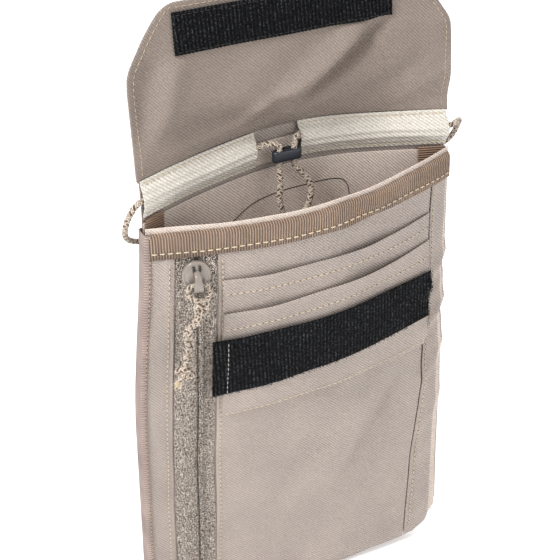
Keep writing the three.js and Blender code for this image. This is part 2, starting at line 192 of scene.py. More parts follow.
def lifted(x, z):
    """The band arches up between its two ends, and the cloth beside it goes with it."""
    rise = 3.2 * cross_share(x / HALF) + 0.020 * x
    return z + rise * ramp(z, -34, -6) * (1 - ramp(z, 12, 42))


def hung(x, z):
    """The front hangs a little askew: its right side is pulled up, its left side drops."""
    return z + (1.1 + 0.046 * x) * ramp(z, -205, -60)


LEAN = math.tan(math.radians(5.5))


def back_y(x, z, depth=0.0):
    """Inner face of the back below the band, and of the lid above it."""
    u = x / half_width(z, x < 0)
    bow = 14 + (1.5 - 14) * depth_share(z)
    fade = np.clip((36 - z) / (36 - BAND_TOP), 0, 1)
    up = ramp(z, BAND_TOP - 6, BAND_TOP + 1)
    bow = bow * (1 - up) + 14 * fade * fade * up
    lean = np.maximum(z + 8, 0) * LEAN * ramp(z, -2, 10)
    return 0.5 + bow * cross_share(u) + lean + depth


# ---- materials
def linear(rgb):
    return tuple((c / 12.92 if c <= 0.04045 else ((c + 0.055) / 1.055) ** 2.4)
                 for c in (v / 255 for v in rgb))


class Nodes:
    def __init__(self, name, roughness, sheen=0.0, coat=0.0, specular=0.3):
        self.material = bpy.data.materials.new(name)
        self.material.use_nodes = True
        self.tree = self.material.node_tree
        self.shader = self.tree.nodes["Principled BSDF"]
        self.shader.inputs["Roughness"].default_value = roughness
        self.shader.inputs["Sheen Weight"].default_value = sheen
        self.shader.inputs["Sheen Roughness"].default_value = 0.5
        self.shader.inputs["Coat Weight"].default_value = coat
        self.shader.inputs["Specular IOR Level"].default_value = specular
        self.place = self.tree.nodes.new("ShaderNodeTexCoord").outputs["Object"]

    def link(self, a, b):
        self.tree.links.new(a, b)

    def math(self, kind, a, b=None):
        node = self.tree.nodes.new("ShaderNodeMath")
        node.operation = kind
        for socket, value in zip(node.inputs, (a, b)):
            if value is None:
                continue
            if isinstance(value, (int, float)):
                socket.default_value = value
            else:
                self.link(value, socket)
        return node.outputs[0]

    def plus(self, a, b):
        return self.math("ADD", a, b)

    def times(self, a, b):
        return self.math("MULTIPLY", a, b)

    def dot(self, direction, source=None):
        node = self.tree.nodes.new("ShaderNodeVectorMath")
        node.operation = "DOT_PRODUCT"
        node.inputs[1].default_value = direction
        self.link(source or self.place, node.inputs[0])
        return node.outputs["Value"]

    def stripes(self, direction, pitch, wobble=0.0):
        """A wave from -1 to 1 across the direction, repeating each pitch metres."""
        size = 2 * PI / pitch / math.sqrt(sum(c * c for c in direction))
        value = self.dot(tuple(c * size for c in direction))
        if wobble:
            value = self.plus(value, self.times(self.noise(900, 2), wobble))
        return self.math("SINE", value)

    def noise(self, scale, detail=3.0, stretch=None, rough=0.55):
        node = self.tree.nodes.new("ShaderNodeTexNoise")
        node.inputs["Scale"].default_value = scale
        node.inputs["Detail"].default_value = detail
        node.inputs["Roughness"].default_value = rough
        source = self.place
        if stretch:
            mapping = self.tree.nodes.new("ShaderNodeMapping")
            mapping.inputs["Scale"].default_value = stretch
            self.link(source, mapping.inputs["Vector"])
            source = mapping.outputs["Vector"]
        self.link(source, node.inputs["Vector"])
        return node.outputs["Fac"]

    def ramp(self, value, stops):
        node = self.tree.nodes.new("ShaderNodeValToRGB")
        ramp_ = node.color_ramp
        while len(ramp_.elements) < len(stops):
            ramp_.elements.new(0.5)
        for element, (place, rgb) in zip(ramp_.elements, stops):
            element.position = place
            element.color = (*linear(rgb), 1)
        self.link(value, node.inputs["Fac"])
        return node.outputs["Color"]

    def colour(self, socket):
        self.link(socket, self.shader.inputs["Base Color"])

    def bump(self, value, distance, strength):
        node = self.tree.nodes.new("ShaderNodeBump")
        node.inputs["Distance"].default_value = distance
        node.inputs["Strength"].default_value = strength
        self.link(value, node.inputs["Height"])
        self.link(node.outputs["Normal"], self.shader.inputs["Normal"])

    def roughness(self, value, low, high):
        spread = self.times(value, high - low)
        self.link(self.plus(spread, low), self.shader.inputs["Roughness"])


def tint(rgb, share):
    return tuple(min(255, c * share) for c in rgb)


def twill(name, rgb, pitch=1.0, contrast=0.17, sheen=0.06, roughness=0.60, slope=(1, 0, 1)):
    """Diagonal twill: raised yarns one way, broken by the finer yarns across them."""
    m = Nodes(name, roughness, sheen=sheen)
    ribs = m.stripes(slope, pitch * MM, wobble=0.5)
    yarns = m.stripes((slope[2], 0.3, -slope[0]), 0.55 * MM, wobble=0.6)
    weave = m.plus(ribs, m.times(yarns, 0.35))
    cloud = m.noise(34, 3)
    fleck = m.noise(1500, 2)
    value = m.plus(m.times(weave, contrast * 0.9), 0.5)
    value = m.plus(value, m.times(m.math("SUBTRACT", cloud, 0.5), 0.35))
    value = m.plus(value, m.times(m.math("SUBTRACT", fleck, 0.5), 0.6))
    m.colour(m.ramp(value, [(0.1, tint(rgb, 0.74)), (0.5, rgb), (0.9, tint(rgb, 1.20))]))
    m.roughness(cloud, roughness - 0.06, roughness + 0.10)
    m.bump(weave, 0.00016, 0.7)
    return m.material


def ribbed(name, rgb, direction, pitch=1.05, contrast=0.30, across=(0, 0, 1)):
    """Grosgrain: raised ribs across the tape, each one a bundle of finer threads, with painted shade between
    the ribs and painted light on their tops.
    """
    m = Nodes(name, 0.78, sheen=0.1)
    ribs = m.stripes(direction, pitch * MM, wobble=0.5)
    fine = m.stripes(across, 0.42 * MM, wobble=0.7)
    weave = m.plus(ribs, m.times(fine, 0.3))
    cloud = m.noise(60, 3)
    value = m.plus(m.times(weave, contrast), 0.5)
    value = m.plus(value, m.times(m.math("SUBTRACT", cloud, 0.5), 0.5))
    # painted shade and light: the colour follows the rib height, darker between the ribs and lighter on their
    # tops
    m.colour(m.ramp(value, [(0.05, tint(rgb, 0.50)), (0.5, rgb), (0.95, tint(rgb, 1.34))]))
    m.bump(weave, 0.0004, 0.9)
    return m.material


def braid_material():
    """Round braid: crossing strands, a few of them dark brown, with painted shade in the hollows between
    them, from the cord's own UV.
    """
    m = Nodes("braided_cord", 0.8, sheen=0.15)
    uv = m.tree.nodes.new("ShaderNodeUVMap").outputs["UV"]
    strands = 6.0
    one = m.dot((strands, 1.15, 0), uv)
    two = m.dot((strands, -1.15, 0), uv)
    over = m.math("MODULO", m.plus(m.math("FLOOR", one), m.math("FLOOR", two)), 2.0)
    over = m.math("GREATER_THAN", m.math("ABSOLUTE", over), 0.5)
    hue_one = m.math("FRACT", m.times(m.math("FLOOR", one), 0.3717))
    hue_two = m.math("FRACT", m.times(m.math("FLOOR", two), 0.2911))
    picked = m.plus(m.times(over, hue_one),
                    m.times(m.math("SUBTRACT", 1.0, over), hue_two))
    crown_one = m.math("SINE", m.times(m.math("FRACT", one), PI))
    crown_two = m.math("SINE", m.times(m.math("FRACT", two), PI))
    crown = m.times(crown_one, crown_two)
    base = m.ramp(picked, [(0.0, (246, 234, 220)), (0.40, (228, 210, 192)), (0.56, (206, 184, 164)),
                           (0.64, (92, 68, 52)), (0.80, (112, 88, 70)), (0.88, (240, 228, 214))])
    # painted shade: the strand colours are darkened towards the hollows where the strands pass under each
    # other
    shade = m.ramp(crown, [(0.0, (70, 58, 46)), (0.35, (190, 186, 180)), (1.0, (255, 255, 255))])
    mixer = m.tree.nodes.new("ShaderNodeMix")
    mixer.data_type = "RGBA"
    mixer.blend_type = "MULTIPLY"
    mixer.inputs["Factor"].default_value = 0.75
    m.link(base, mixer.inputs["A"])
    m.link(shade, mixer.inputs["B"])
    m.colour(mixer.outputs["Result"])
    m.bump(crown, 0.00035, 0.8)
    return m.material


def thread(name, rgb):
    m = Nodes(name, 0.6, sheen=0.1)
    twist = m.stripes((1, 0.4, 1), 0.35 * MM)
    value = m.plus(m.times(twist, 0.25), 0.5)
    m.colour(m.ramp(value, [(0.0, tint(rgb, 0.78)), (1.0, tint(rgb, 1.08))]))
    m.bump(twist, 0.00008, 0.5)
    return m.material


def zip_tape_material():
    m = Nodes("zip_tape", 0.8, sheen=0.1)
    knit = m.noise(2500, 0.0, stretch=(1.0, 1.0, 0.9), rough=0.45)
    loops = m.times(m.stripes((1, 0, 0), 0.9 * MM, 0.8), m.stripes((0, 0, 1), 1.1 * MM, 0.8))
    value = m.plus(knit, m.times(loops, 0.10))
    m.colour(m.ramp(value, [(0.36, (44, 38, 33)), (0.46, (100, 89, 80)), (0.54, (146, 134, 124)),
        (0.64, (206, 195, 184))]))
    m.bump(value, 0.0004, 0.7)
    return m.material


def pile_material():
    m = Nodes("hook_and_loop", 0.85, sheen=0.02, specular=0.15)
    fleck = m.noise(1300, 2)
    rows = m.stripes((1, 0, 0.05), 1.6 * MM, 0.5)
    value = m.plus(fleck, m.times(rows, 0.10))
    m.colour(m.ramp(value, [(0.36, (2, 2, 3)), (0.50, (10, 10, 12)), (0.62, (28, 29, 32)),
        (0.76, (70, 72, 77))]))
    m.bump(value, 0.0006, 0.8)
    return m.material


def moulded(name, rgb, roughness, specular=0.5, coat=0.0):
    m = Nodes(name, roughness, specular=specular, coat=coat)
    cloud = m.noise(160, 3)
    grain = m.noise(2600, 2)
    m.colour(m.ramp(cloud, [(0.2, tint(rgb, 0.92)), (0.8, tint(rgb, 1.07))]))
    m.roughness(cloud, roughness - 0.05, roughness + 0.08)
    m.bump(grain, 0.00004, 0.5)
    return m.material


CLOTH = (168, 156, 148)
# The lid lining and the inner lining are one fabric in two copies: darker on the lid as painted shade, much
# lighter inside the pouch as painted light.
SHADED_LINING = (138, 125, 116)
M = {
    "cloth": twill("twill_cloth", CLOTH),
    "lining": twill("twill_lining", SHADED_LINING, contrast=0.11),
    # painted light: the inner lining is lightened to offset the shade inside the pouch
    "inside": twill("inner_lining_painted_light", (212, 197, 186), contrast=0.12),
    "tan": ribbed("tan_grosgrain", (154, 130, 112), (1, 0, 0)),
    "tan_side": ribbed("tan_side_tape", (158, 128, 106), (0, 0, 1), across=(1, 0, 0)),
    "edge": ribbed("edge_grosgrain", (176, 156, 148), (0, 0, 1), 1.2, 0.14, across=(0, 1, 0)),
    "edge_bottom": ribbed("bottom_grosgrain", (176, 156, 148), (1, 0, 0), 1.2, 0.14, across=(0, 1, 0)),
    "cream": twill("cream_webbing", (206, 200, 190), pitch=1.15, contrast=0.14, slope=(1, 0, 1.3)),
    "zip": zip_tape_material(),
    "pile": pile_material(),
    "slider": moulded("slider_paint", (140, 130, 121), 0.24, coat=0.4),
    "lock": moulded("lock_plastic", (34, 38, 46), 0.38),
    "cord": braid_material(),
    "cream_thread": thread("cream_thread", (226, 208, 178)),
    "cloth_thread": thread("cloth_thread", (196, 176, 152)),
    "white_thread": thread("white_thread", (226, 224, 218)),
    "print": moulded("print_ink", (38, 36, 38), 0.7, specular=0.2),
    # painted shade for the zip's centre gap, the gap above the slider and the slider's recesses; also the
    # real dark thread of the hook strip
    "dark": moulded("dark_coil", (46, 42, 40), 0.55),
    # painted shade: a dark thread colour for the dips between the stitches
    "hole": thread("stitch_hole", (96, 80, 68)),
}


# ---- mesh tools
def make(name, verts, faces, material, body, replaces=(), uv=None, ride=True, warp=None):
    verts = np.array(verts, float)
    if warp is not None:
        verts[:, 2] = warp(verts[:, 0], verts[:, 2])
    mesh = bpy.data.meshes.new(name)
    mesh.from_pydata((verts * MM).tolist(), [], [tuple(int(i) for i in f) for f in faces])
    mesh.materials.append(M[material])
    mesh.polygons.foreach_set("use_smooth", [True] * len(mesh.polygons))
    if uv is not None:
        layer = mesh.uv_layers.new(name="UVMap")
        layer.data.foreach_set("uv", np.asarray(uv, float).ravel())
    mesh.update()
    obj = bpy.data.objects.new(name, mesh)
    bpy.context.collection.objects.link(obj)
    if ride:
        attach(obj, body)
    if replaces:
        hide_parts(*replaces)
    return obj


def spaced(low, high, step, rim=0.35):
    """Even parameters with two extra lines close to each end, for a rounded edge."""
    count = max(2, int(round((high - low) / step)))
    inner = np.linspace(low, high, count + 1)[1:-1]
    near = [low, low + 0.3 * rim, low + rim]
    far = [high - rim, high - 0.3 * rim, high]
    inner = inner[(inner > low + 1.6 * rim) & (inner < high - 1.6 * rim)]
    return np.concatenate([near, inner, far])


def sheet_mesh(s, t, place, thick, open_edges=""):
    """A soft sheet with rounded edges. s, t are grid lines; place(S, T) gives x, y, z of its
    outer face and thick is its thickness towards +Y."""
    S, T = np.meshgrid(s, t, indexing="ij")
    x, y, z = place(S, T)
    rim_s = np.minimum((S - s[0]) / (s[2] - s[0]) if "w" not in open_edges else 9 + 0 * S,
                       (s[-1] - S) / (s[-1] - s[-3]) if "e" not in open_edges else 9 + 0 * S)
    rim_t = np.minimum((T - t[0]) / (t[2] - t[0]) if "s" not in open_edges else 9 + 0 * T,
                       (t[-1] - T) / (t[-1] - t[-3]) if "n" not in open_edges else 9 + 0 * T)
    r = np.clip(np.minimum(rim_s, rim_t), 0, 1)
    lift = thick / 2 * (1 - np.sqrt(np.clip(1 - (1 - r) ** 2, 0, 1)))
    ns, nt = S.shape
    front = points_of(x, y + lift, z).reshape(-1, 3)
    back = points_of(x, y + thick - lift, z).reshape(-1, 3)
    index = np.arange(ns * nt).reshape(ns, nt)
    other = index + ns * nt
    faces = []
    for i in range(ns - 1):
        for j in range(nt - 1):
            faces.append((index[i, j], index[i + 1, j], index[i + 1, j + 1], index[i, j + 1]))
            faces.append((other[i, j], other[i, j + 1], other[i + 1, j + 1], other[i + 1, j]))
    for i in range(ns - 1):
        if "s" in open_edges:
            faces.append((index[i, 0], other[i, 0], other[i + 1, 0], index[i + 1, 0]))
        if "n" in open_edges:
            faces.append((index[i, nt - 1], index[i + 1, nt - 1], other[i + 1, nt - 1], other[i, nt - 1]))
    verts = np.concatenate([front, back])
    # Where the edge is rounded the two faces meet, so their border points are shared.
    merge = np.arange(len(verts))
    flat = lift.reshape(-1)
    joined = np.isclose(flat, thick / 2)
    merge[ns * nt:][joined] = np.arange(ns * nt)[joined]
    kept = np.unique(merge)
    renumber = np.full(len(verts), -1)
    renumber[kept] = np.arange(len(kept))
    faces = [tuple(renumber[merge[i]] for i in f) for f in faces]
    faces = [f for f in faces if len(set(f)) == 4]
    return verts[kept], faces


def panel(name, s, t, place, thick, material, replaces=(), body="pouch", open_edges="", ride=True,
          warp=None):
    verts, faces = sheet_mesh(s, t, place, thick, open_edges)
    return make(name, verts, faces, material, body, replaces, ride=ride, warp=warp)


class Bucket:
    def __init__(self):
        self.verts, self.faces, self.count = [], [], 0

    def add(self, verts, faces):
        self.verts.append(np.asarray(verts, float))
        self.faces.extend(tuple(i + self.count for i in f) for f in faces)
        self.count += len(verts)

    def build(self, name, material, body, slot, replaces=(), ride=True, warp=None):
        return make(name, np.concatenate(self.verts), self.faces, material, body, replaces, ride=ride,
            warp=warp)


def frames_along(points):
    p = np.asarray(points, float)
    tangent = np.gradient(p, axis=0)
    tangent /= np.linalg.norm(tangent, axis=1)[:, None] + 1e-12
    side = np.cross(tangent[0], (0.13, 0.21, 0.97))
    side /= np.linalg.norm(side)
    sides = []
    for t in tangent:
        side = side - t * side.dot(t)
        side /= np.linalg.norm(side)
        sides.append(side)
    sides = np.array(sides)
    return p, tangent, sides, np.cross(tangent, sides)


def quads(rows, ring):
    """The faces between neighbouring rings of points."""
    return [(i * ring + k, i * ring + n, (i + 1) * ring + n, (i + 1) * ring + k)
            for i in range(rows - 1) for k, n in ((k, (k + 1) % ring) for k in range(ring))]


def capped(rows, ring):
    return quads(rows, ring) + [tuple(range(ring - 1, -1, -1)),
        tuple((rows - 1) * ring + k for k in range(ring))]


def tube(points, radii, sides=6):
    p, _, a, b = frames_along(points)
    radii = np.broadcast_to(np.asarray(radii, float), (len(p),)) if np.ndim(radii) < 2 else np.asarray(radii)
    angles = np.arange(sides) * 2 * PI / sides
    r = radii[:, None] if radii.ndim == 1 else radii
    ring = p[:, None] + r[..., None] * (a[:, None] * np.cos(angles)[None, :, None]
                                        + b[:, None] * np.sin(angles)[None, :, None])
    verts = ring.reshape(-1, 3)
    faces = quads(len(p), sides)
    first, last = len(verts), len(verts) + 1
    verts = np.vstack([verts, p[0], p[-1]])
    for k in range(sides):
        n = (k + 1) % sides
        faces.append((first, n, k))
        faces.append((last, (len(p) - 1) * sides + k, (len(p) - 1) * sides + n))
    return verts, faces


def resample(points, step):
    p = np.asarray(points, float)
    d = np.concatenate([[0], np.cumsum(np.linalg.norm(np.diff(p, axis=0), axis=1))])
    count = max(2, int(round(d[-1] / step)))
    s = np.linspace(0, d[-1], count + 1)
    return np.stack([np.interp(s, d, p[:, k]) for k in range(3)], -1)


def smooth_path(points, step=0.5):
    """A centripetal Catmull-Rom curve through the points, at even steps."""
    p = [np.asarray(q, float) for q in points]
    p = [2 * p[0] - p[1]] + p + [2 * p[-1] - p[-2]]
    out = []
    for i in range(1, len(p) - 2):
        p0, p1, p2, p3 = p[i - 1:i + 3]
        t = [0]
        for a, b in ((p0, p1), (p1, p2), (p2, p3)):
            t.append(t[-1] + max(np.linalg.norm(b - a), 1e-6) ** 0.5)
        for u in np.linspace(t[1], t[2], 14, endpoint=False):
            a1 = (t[1] - u) / (t[1] - t[0]) * p0 + (u - t[0]) / (t[1] - t[0]) * p1
            a2 = (t[2] - u) / (t[2] - t[1]) * p1 + (u - t[1]) / (t[2] - t[1]) * p2
            a3 = (t[3] - u) / (t[3] - t[2]) * p2 + (u - t[2]) / (t[3] - t[2]) * p3
            b1 = (t[2] - u) / (t[2] - t[0]) * a1 + (u - t[0]) / (t[2] - t[0]) * a2
            b2 = (t[3] - u) / (t[3] - t[1]) * a2 + (u - t[1]) / (t[3] - t[1]) * a3
            out.append((t[2] - u) / (t[2] - t[1]) * b1 + (u - t[1]) / (t[2] - t[1]) * b2)
    out.append(p[-2])
    return resample(out, step)


def stitches(bucket, points, out, pitch=2.7, length=2.0, radius=0.2, lift=0.12, hole_shade=None):
    """Rows of thread along a line; out is the direction away from the cloth."""
    line = resample(points, 0.25)
    out = np.asarray(out, float)
    n = len(line)
    total = (n - 1) * 0.25
    per = max(1, int(round(total / pitch)))
    for k in range(per):
        centre = (k + 0.5) * total / per
        t = np.linspace(-0.5, 0.5, 5)
        at = np.clip((centre + t * length) / total * (n - 1), 0, n - 1)
        p = np.stack([np.interp(at, np.arange(n), line[:, c]) for c in range(3)], -1)
        p = p + out * (lift * (1 - 1.5 * (2 * t) ** 4))[:, None]
        bucket.add(*tube(p, radius * np.array([0.55, 0.95, 1.0, 0.95, 0.55]), 6))
        # painted shade: short dark tubes in the gaps between the stitches, where the thread dips into the
        # cloth
        if hole_shade is not None:
            t = np.linspace(0.5 * length, pitch - 0.5 * length, 4)
            at = np.clip((centre + t) / total * (n - 1), 0, n - 1)
            p = np.stack([np.interp(at, np.arange(n), line[:, c]) for c in range(3)], -1) + out * 0.02
            hole_shade.add(*tube(p, radius * np.array([0.6, 0.85, 0.85, 0.6]), 5))


FORWARD = (0, -1, 0)


def on_front(u, z, depth):
    """Points on the front at a share of the half width, depth proud of its lining."""
    x = across(u, z)
    return points_of(x, front_y(x, z, depth), z)


def corner_z(u):
    """Height of the cloth's lower edge, which turns up round the two corners, 2 mm inside the outline."""
    wide = FOOT_HALF + FLARE * (np.asarray(u) < 0)
    x = across(u, BOTTOM_Z)
    beyond = np.clip(np.abs(x) - (wide - CORNER), 0, CORNER - 0.5)
    return BOTTOM_Z + CORNER - np.sqrt(CORNER ** 2 - beyond ** 2) + 2.0


def to_foot(S, T, top):
    """Even heights from the top, stretched so that the lowest follows the corners."""
    low = corner_z(S / HALF)
    return top - (top - T) * (top - low) / (top - FLOOR)


# ---- cords first
CORD = 2.4


def braided(name, points, radius, body, replaces=(), ride=True, sides=10):
    """A round braided cord whose surface rises where a strand crosses over."""
    p = resample(points, 0.42)
    _, _, a, b = frames_along(p)
    along = np.arange(len(p)) * 0.42
    k = np.arange(sides) / sides
    one = 3 * k[None, :] + 0.58 * along[:, None]
    two = 3 * k[None, :] - 0.58 * along[:, None]
    r = radius * (0.93 + 0.14 * np.abs(np.sin(PI * one) * np.sin(PI * two)))
    r[0] *= 0.9
    r[-1] *= 0.9
    angle = k * 2 * PI
    ring = p[:, None] + r[..., None] * (a[:, None] * np.cos(angle)[None, :, None]
                                        + b[:, None] * np.sin(angle)[None, :, None])
    verts = np.vstack([ring.reshape(-1, 3), p[0], p[-1]])
    faces, uv = [], []
    for i in range(len(p) - 1):
        for j in range(sides):
            n = (j + 1) % sides
            faces.append((i * sides + j, i * sides + n, (i + 1) * sides + n, (i + 1) * sides + j))
            u0, u1 = j / sides, (j + 1) / sides
            uv += [(u0, along[i]), (u1, along[i]), (u1, along[i + 1]), (u0, along[i + 1])]
    first, last = len(verts) - 2, len(verts) - 1
    for j in range(sides):
        n = (j + 1) % sides
        faces.append((first, n, j))
        uv += [(0.5, 0), (0.6, 0), (0.7, 0)]
        faces.append((last, (len(p) - 1) * sides + j, (len(p) - 1) * sides + n))
        uv += [(0.5, 0), (0.6, 0), (0.7, 0)]
    return make(name, verts, faces, "cord", body, replaces, uv=uv, ride=ride)


def in_channel(x):
    return (x, float(back_y(np.array(x), np.array(0.0), -1.3)), float(lifted(np.array(x), np.array(0.0))))


def path_length(points):
    return float(np.sum(np.linalg.norm(np.diff(np.asarray(points), axis=0), axis=1))) * MM


def metres(points):
    return [[float(c) * MM for c in p] for p in points]


LEFT_ROUTE = [in_channel(-15), in_channel(-34), in_channel(-50), in_channel(-63), (-68.6, -0.2, -1.4),
              (-72.4, 0.4, -6.5), (-73.8, 2.2, -12.5), (-72.8, 5.2, -18.5), (-68.2, 8.4, -23),
                  (-60, 11.6, -26),
              (-48, 14.6, -28.5), (-34, 17.6, -30.5), (-21, 19.4, -31.5), (-11.5, 20, -32)]
RIGHT_ROUTE = [in_channel(7), in_channel(18), in_channel(34), in_channel(50), in_channel(62),
    (68.8, -0.2, 2.6),
               (72.8, 1, 3.4), (74.2, 3.6, 0.5), (73, 6.6, -6.5), (68, 9.4, -12), (58, 12.6, -18),
               (45, 15.6, -23.5), (31, 18, -28), (19, 19.6, -31), (10.5, 20, -32)]
HANK = (0.0, 20.2, -53.5)
HANK_RADII = (8.5, 6.1)
HANK_LAYERS = (-3.6, -1.2, 1.2, 3.6)
HANK_HALF = 20.0


def hank_turns():
    """Flat oval turns side by side, outer and inner by turns, drawn in a little at the tie."""
    points = []
    turns = [(y, r) for y in HANK_LAYERS for r in HANK_RADII]
    steps = 40
    for n, (y, r) in enumerate(turns):
        y2, r2 = turns[min(n + 1, len(turns) - 1)]
        reach = HANK_HALF - (HANK_RADII[0] - r)
        for k in range(steps):
            f = k / steps
            blend = ramp(f, 0.8, 1.0)
            rr, yy = r + (r2 - r) * blend, y + (y2 - y) * blend
            half = HANK_HALF - (HANK_RADII[0] - rr)
            straight = half - rr
            total = 4 * straight + 2 * PI * rr
            s = f * total
            if s < PI * rr:
                a = PI - s / rr
                x, z = rr * math.cos(a), straight + rr * math.sin(a)
            elif s < PI * rr + 2 * straight:
                x, z = rr, straight - (s - PI * rr)
            elif s < 2 * PI * rr + 2 * straight:
                a = -(s - PI * rr - 2 * straight) / rr
                x, z = rr * math.cos(a), -straight + rr * math.sin(a)
            else:
                x, z = -rr, -straight + (s - 2 * PI * rr - 2 * straight)
            waist = 1 - 0.10 * math.exp(-(z / 6) ** 2)
            points.append((HANK[0] + x * waist, HANK[1] + yy, HANK[2] + z))
    return points


turns = hank_turns()
lead_in = LEFT_ROUTE[:-2] + [(-21, 18.6, -34.0), (-13.4, 17.2, -38.5)]
lead_out = [(8.0, 23.0, -38.0), (13.0, 22.4, -33.4), (19.6, 20.6, -31)] + RIGHT_ROUTE[-3::-1]
coil_path = smooth_path([lead_in[-1]] + turns[4:-12] + [lead_out[0]], 0.5)
neck_path = np.concatenate([smooth_path(lead_in, 0.5), coil_path[1:], smooth_path(lead_out, 0.5)[1:]])
neck = braided("neck_cord", neck_path, CORD / 2, "pouch",
    replaces=("neck_cord_left", "neck_cord_right", "neck_cord_hank"))

tie = Bucket()
for wrap in range(4):
    z0 = HANK[2] - 3.3 + wrap * 2.2
    loop = [(HANK[0] + 9.3 * math.cos(t) * (1 - 0.04 * math.cos(2 * t)), HANK[1] + 5.3 * math.sin(t),
        z0 + 2.1 * t / (2 * PI))
            for t in np.linspace(0, 2 * PI, 40)]
    tie.add(*tube(loop, 0.95, 8))
tie_piece = tie.build("neck_cord_hank_tie_wraps", "lock", "pouch", "cord", ("neck_cord_hank_tie",))
round(path_length(neck_path), 3)
metres(neck_path[::2])

LOCK = np.array([-2.3, 8.0, 0.8])
TAIL_RADIUS = 1.25
TAIL_LEFT = [(-13.4, 11.6, 4.2), (-11.4, 9.9, 6.2), (-8.4, 8.6, 6.8), (-5.7, 8, 5.6), (-5.6, 8, 0.8),
    (-5.6, 8, -4),
             (-5.9, 6.6, -10), (-6.8, 5.4, -17), (-5.6, 4.6, -24), (-3.4, 4, -29.6)]
TAIL_RIGHT = [(5.2, 11.8, 5.6), (4.2, 10.6, 7.6), (2.4, 9, 8.0), (1.1, 8, 5.8), (1, 8, 0.8), (1, 8, -4),
    (4.6, 7, -9),
              (7.4, 6, -14), (6.6, 5, -20), (3.4, 4.4, -25.6), (-0.4, 4, -29.6)]


def knot_piece(name, centre, radii, thick, body, replaces, spin):
    """A cord turned three times through itself, pulled up tight."""
    t = np.linspace(0, 2 * PI, 110)
    x = (2 + np.cos(3 * t)) * np.cos(2 * t) / 3
    z = (2 + np.cos(3 * t)) * np.sin(2 * t) / 3
    y = np.sin(3 * t)
    c, s = math.cos(spin), math.sin(spin)
    x, z = x * c - z * s, x * s + z * c
    path = points_of(centre[0] + (radii[0] - thick) * x, centre[1] + (radii[1] - thick) * y * 0.9,
                     centre[2] + (radii[2] - thick) * z)
    return braided(name, path, thick, body, replaces=replaces, sides=9)


def frayed(name, root, toward, body, spread, length, seed):
    """The loose fibres where a cord is cut."""
    rng = np.random.RandomState(seed)
    bucket = Bucket()
    root, toward = np.asarray(root, float), np.asarray(toward, float)
    toward = toward / np.linalg.norm(toward)
    for _ in range(26):
        off = rng.uniform(-0.7, 0.7, 3)
        lean = toward + rng.uniform(-spread, spread, 3)
        lean /= np.linalg.norm(lean)
        reach = length * rng.uniform(0.55, 1.0)
        mid = root + off + lean * reach * 0.5 + rng.uniform(-0.3, 0.3, 3)
        bucket.add(*tube([root + off * 0.6, mid, root + off + lean * reach], [0.2, 0.16, 0.08], 5))
    return bucket.build(name, "cream_thread", body, "cord")


def tail(side, route):
    """One cord tail, in two lengths that meet inside the lock, which slides down them."""
    path = smooth_path(route, 0.5)
    cut = int(np.argmin(np.abs(path[:, 2] - LOCK[2])))
    upper, lower = path[:cut + 2], path[cut:]
    over = braided(f"cord_tail_{side}_top", upper, TAIL_RADIUS, None, ride=False)
    under = braided(f"cord_tail_{side}_braid", lower, TAIL_RADIUS, None, replaces=(f"cord_tail_{side}",),
        ride=False)
    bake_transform(over)
    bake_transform(under)
    round(path_length(lower), 3)
    metres(lower)


tail_knot = knot_piece("cord_tail_knot_turns", (-1.9, 4, -33.2), (3.6, 2.8, 3.4), 1.15, "pouch",
    ("cord_tail_knot",), 0.4)
tail_tip = frayed("cord_tail_tip", (-1.9, 4, -35.6), (0, 0, -1), "pouch", 0.35, 4.5, 5)
tail("left", TAIL_LEFT)
tail("right", TAIL_RIGHT)

# ---- zip puller
SLIDER = np.array([-50.1, -10.1, -32.6])
TURN = math.radians(-11)
OUT = np.array([math.sin(TURN), -math.cos(TURN), 0.0])
SIDE = np.array([math.cos(TURN), math.sin(TURN), 0.0])
UP = np.array([0.0, 0.0, 1.0])


def at_slider(side, out, up):
    return SLIDER + side * SIDE + out * OUT + up * UP


PULL_X, PULL_Y = SLIDER[0], SLIDER[1] - 3.8
def pull_route(on_slider, below):
    """Points of one strand: some on the slider (side, out, up), the rest off the pull line (x, y) at z."""
    return [at_slider(*p) for p in on_slider] + [(PULL_X + x, PULL_Y + y, z) for x, y, z in below]


LEFT_PULL = pull_route(((0, 3.9, -2.8), (-1.8, 4.0, -2.8), (-3.6, 4.1, -3.6), (-4.6, 4.4, -6.0)),
                       ((-3.0, -2.0, -40.6), (0.6, -2.6, -43.4), (0.6, -2.8, -46.6), (-3.6, -2.0, -50.5),
                        (-6.4, -2.8, -55), (-5.0, -2.2, -60), (-8.4, -2.6, -65), (-6.8, -2.2, -71)))
RIGHT_PULL = pull_route(((0, 3.9, -2.8), (1.8, 4.0, -2.8), (3.6, 4.1, -3.6), (4.6, 4.4, -6.0)),
                        ((2.6, -2.2, -40.8), (-1.6, -2.8, -43.8), (-2.6, -2.0, -46.4), (-2.4, -2.9, -50.5),
                        (-7.6, -1.9, -54.6), (-7.4, -2.8, -60), (-6.0, -1.9, -65), (-9.4, -2.4, -71)))
pull_left_path, pull_right_path = smooth_path(LEFT_PULL, 0.4), smooth_path(RIGHT_PULL, 0.4)
pull_left = braided("puller_cord_left", pull_left_path, 1.15, "zip_puller",
                    replaces=("zip_puller_loop", "zip_puller_strand_left"))
pull_right = braided("puller_cord_right", pull_right_path, 1.15, "zip_puller",
                     replaces=("zip_puller_strand_right",))
knot_upper = knot_piece("puller_knot_upper", (PULL_X - 0.6, PULL_Y - 2.4, -44.2), (3.6, 2.8, 3.4), 1.2,
                         "zip_puller", ("zip_puller_knot_upper",), 0.9)
knot_lower = knot_piece("puller_knot_lower", (PULL_X - 9.0, PULL_Y - 2.0, -74.0), (4.4, 3.0, 4.2), 1.3,
                         "zip_puller", ("zip_puller_knot_lower",), 0.2)
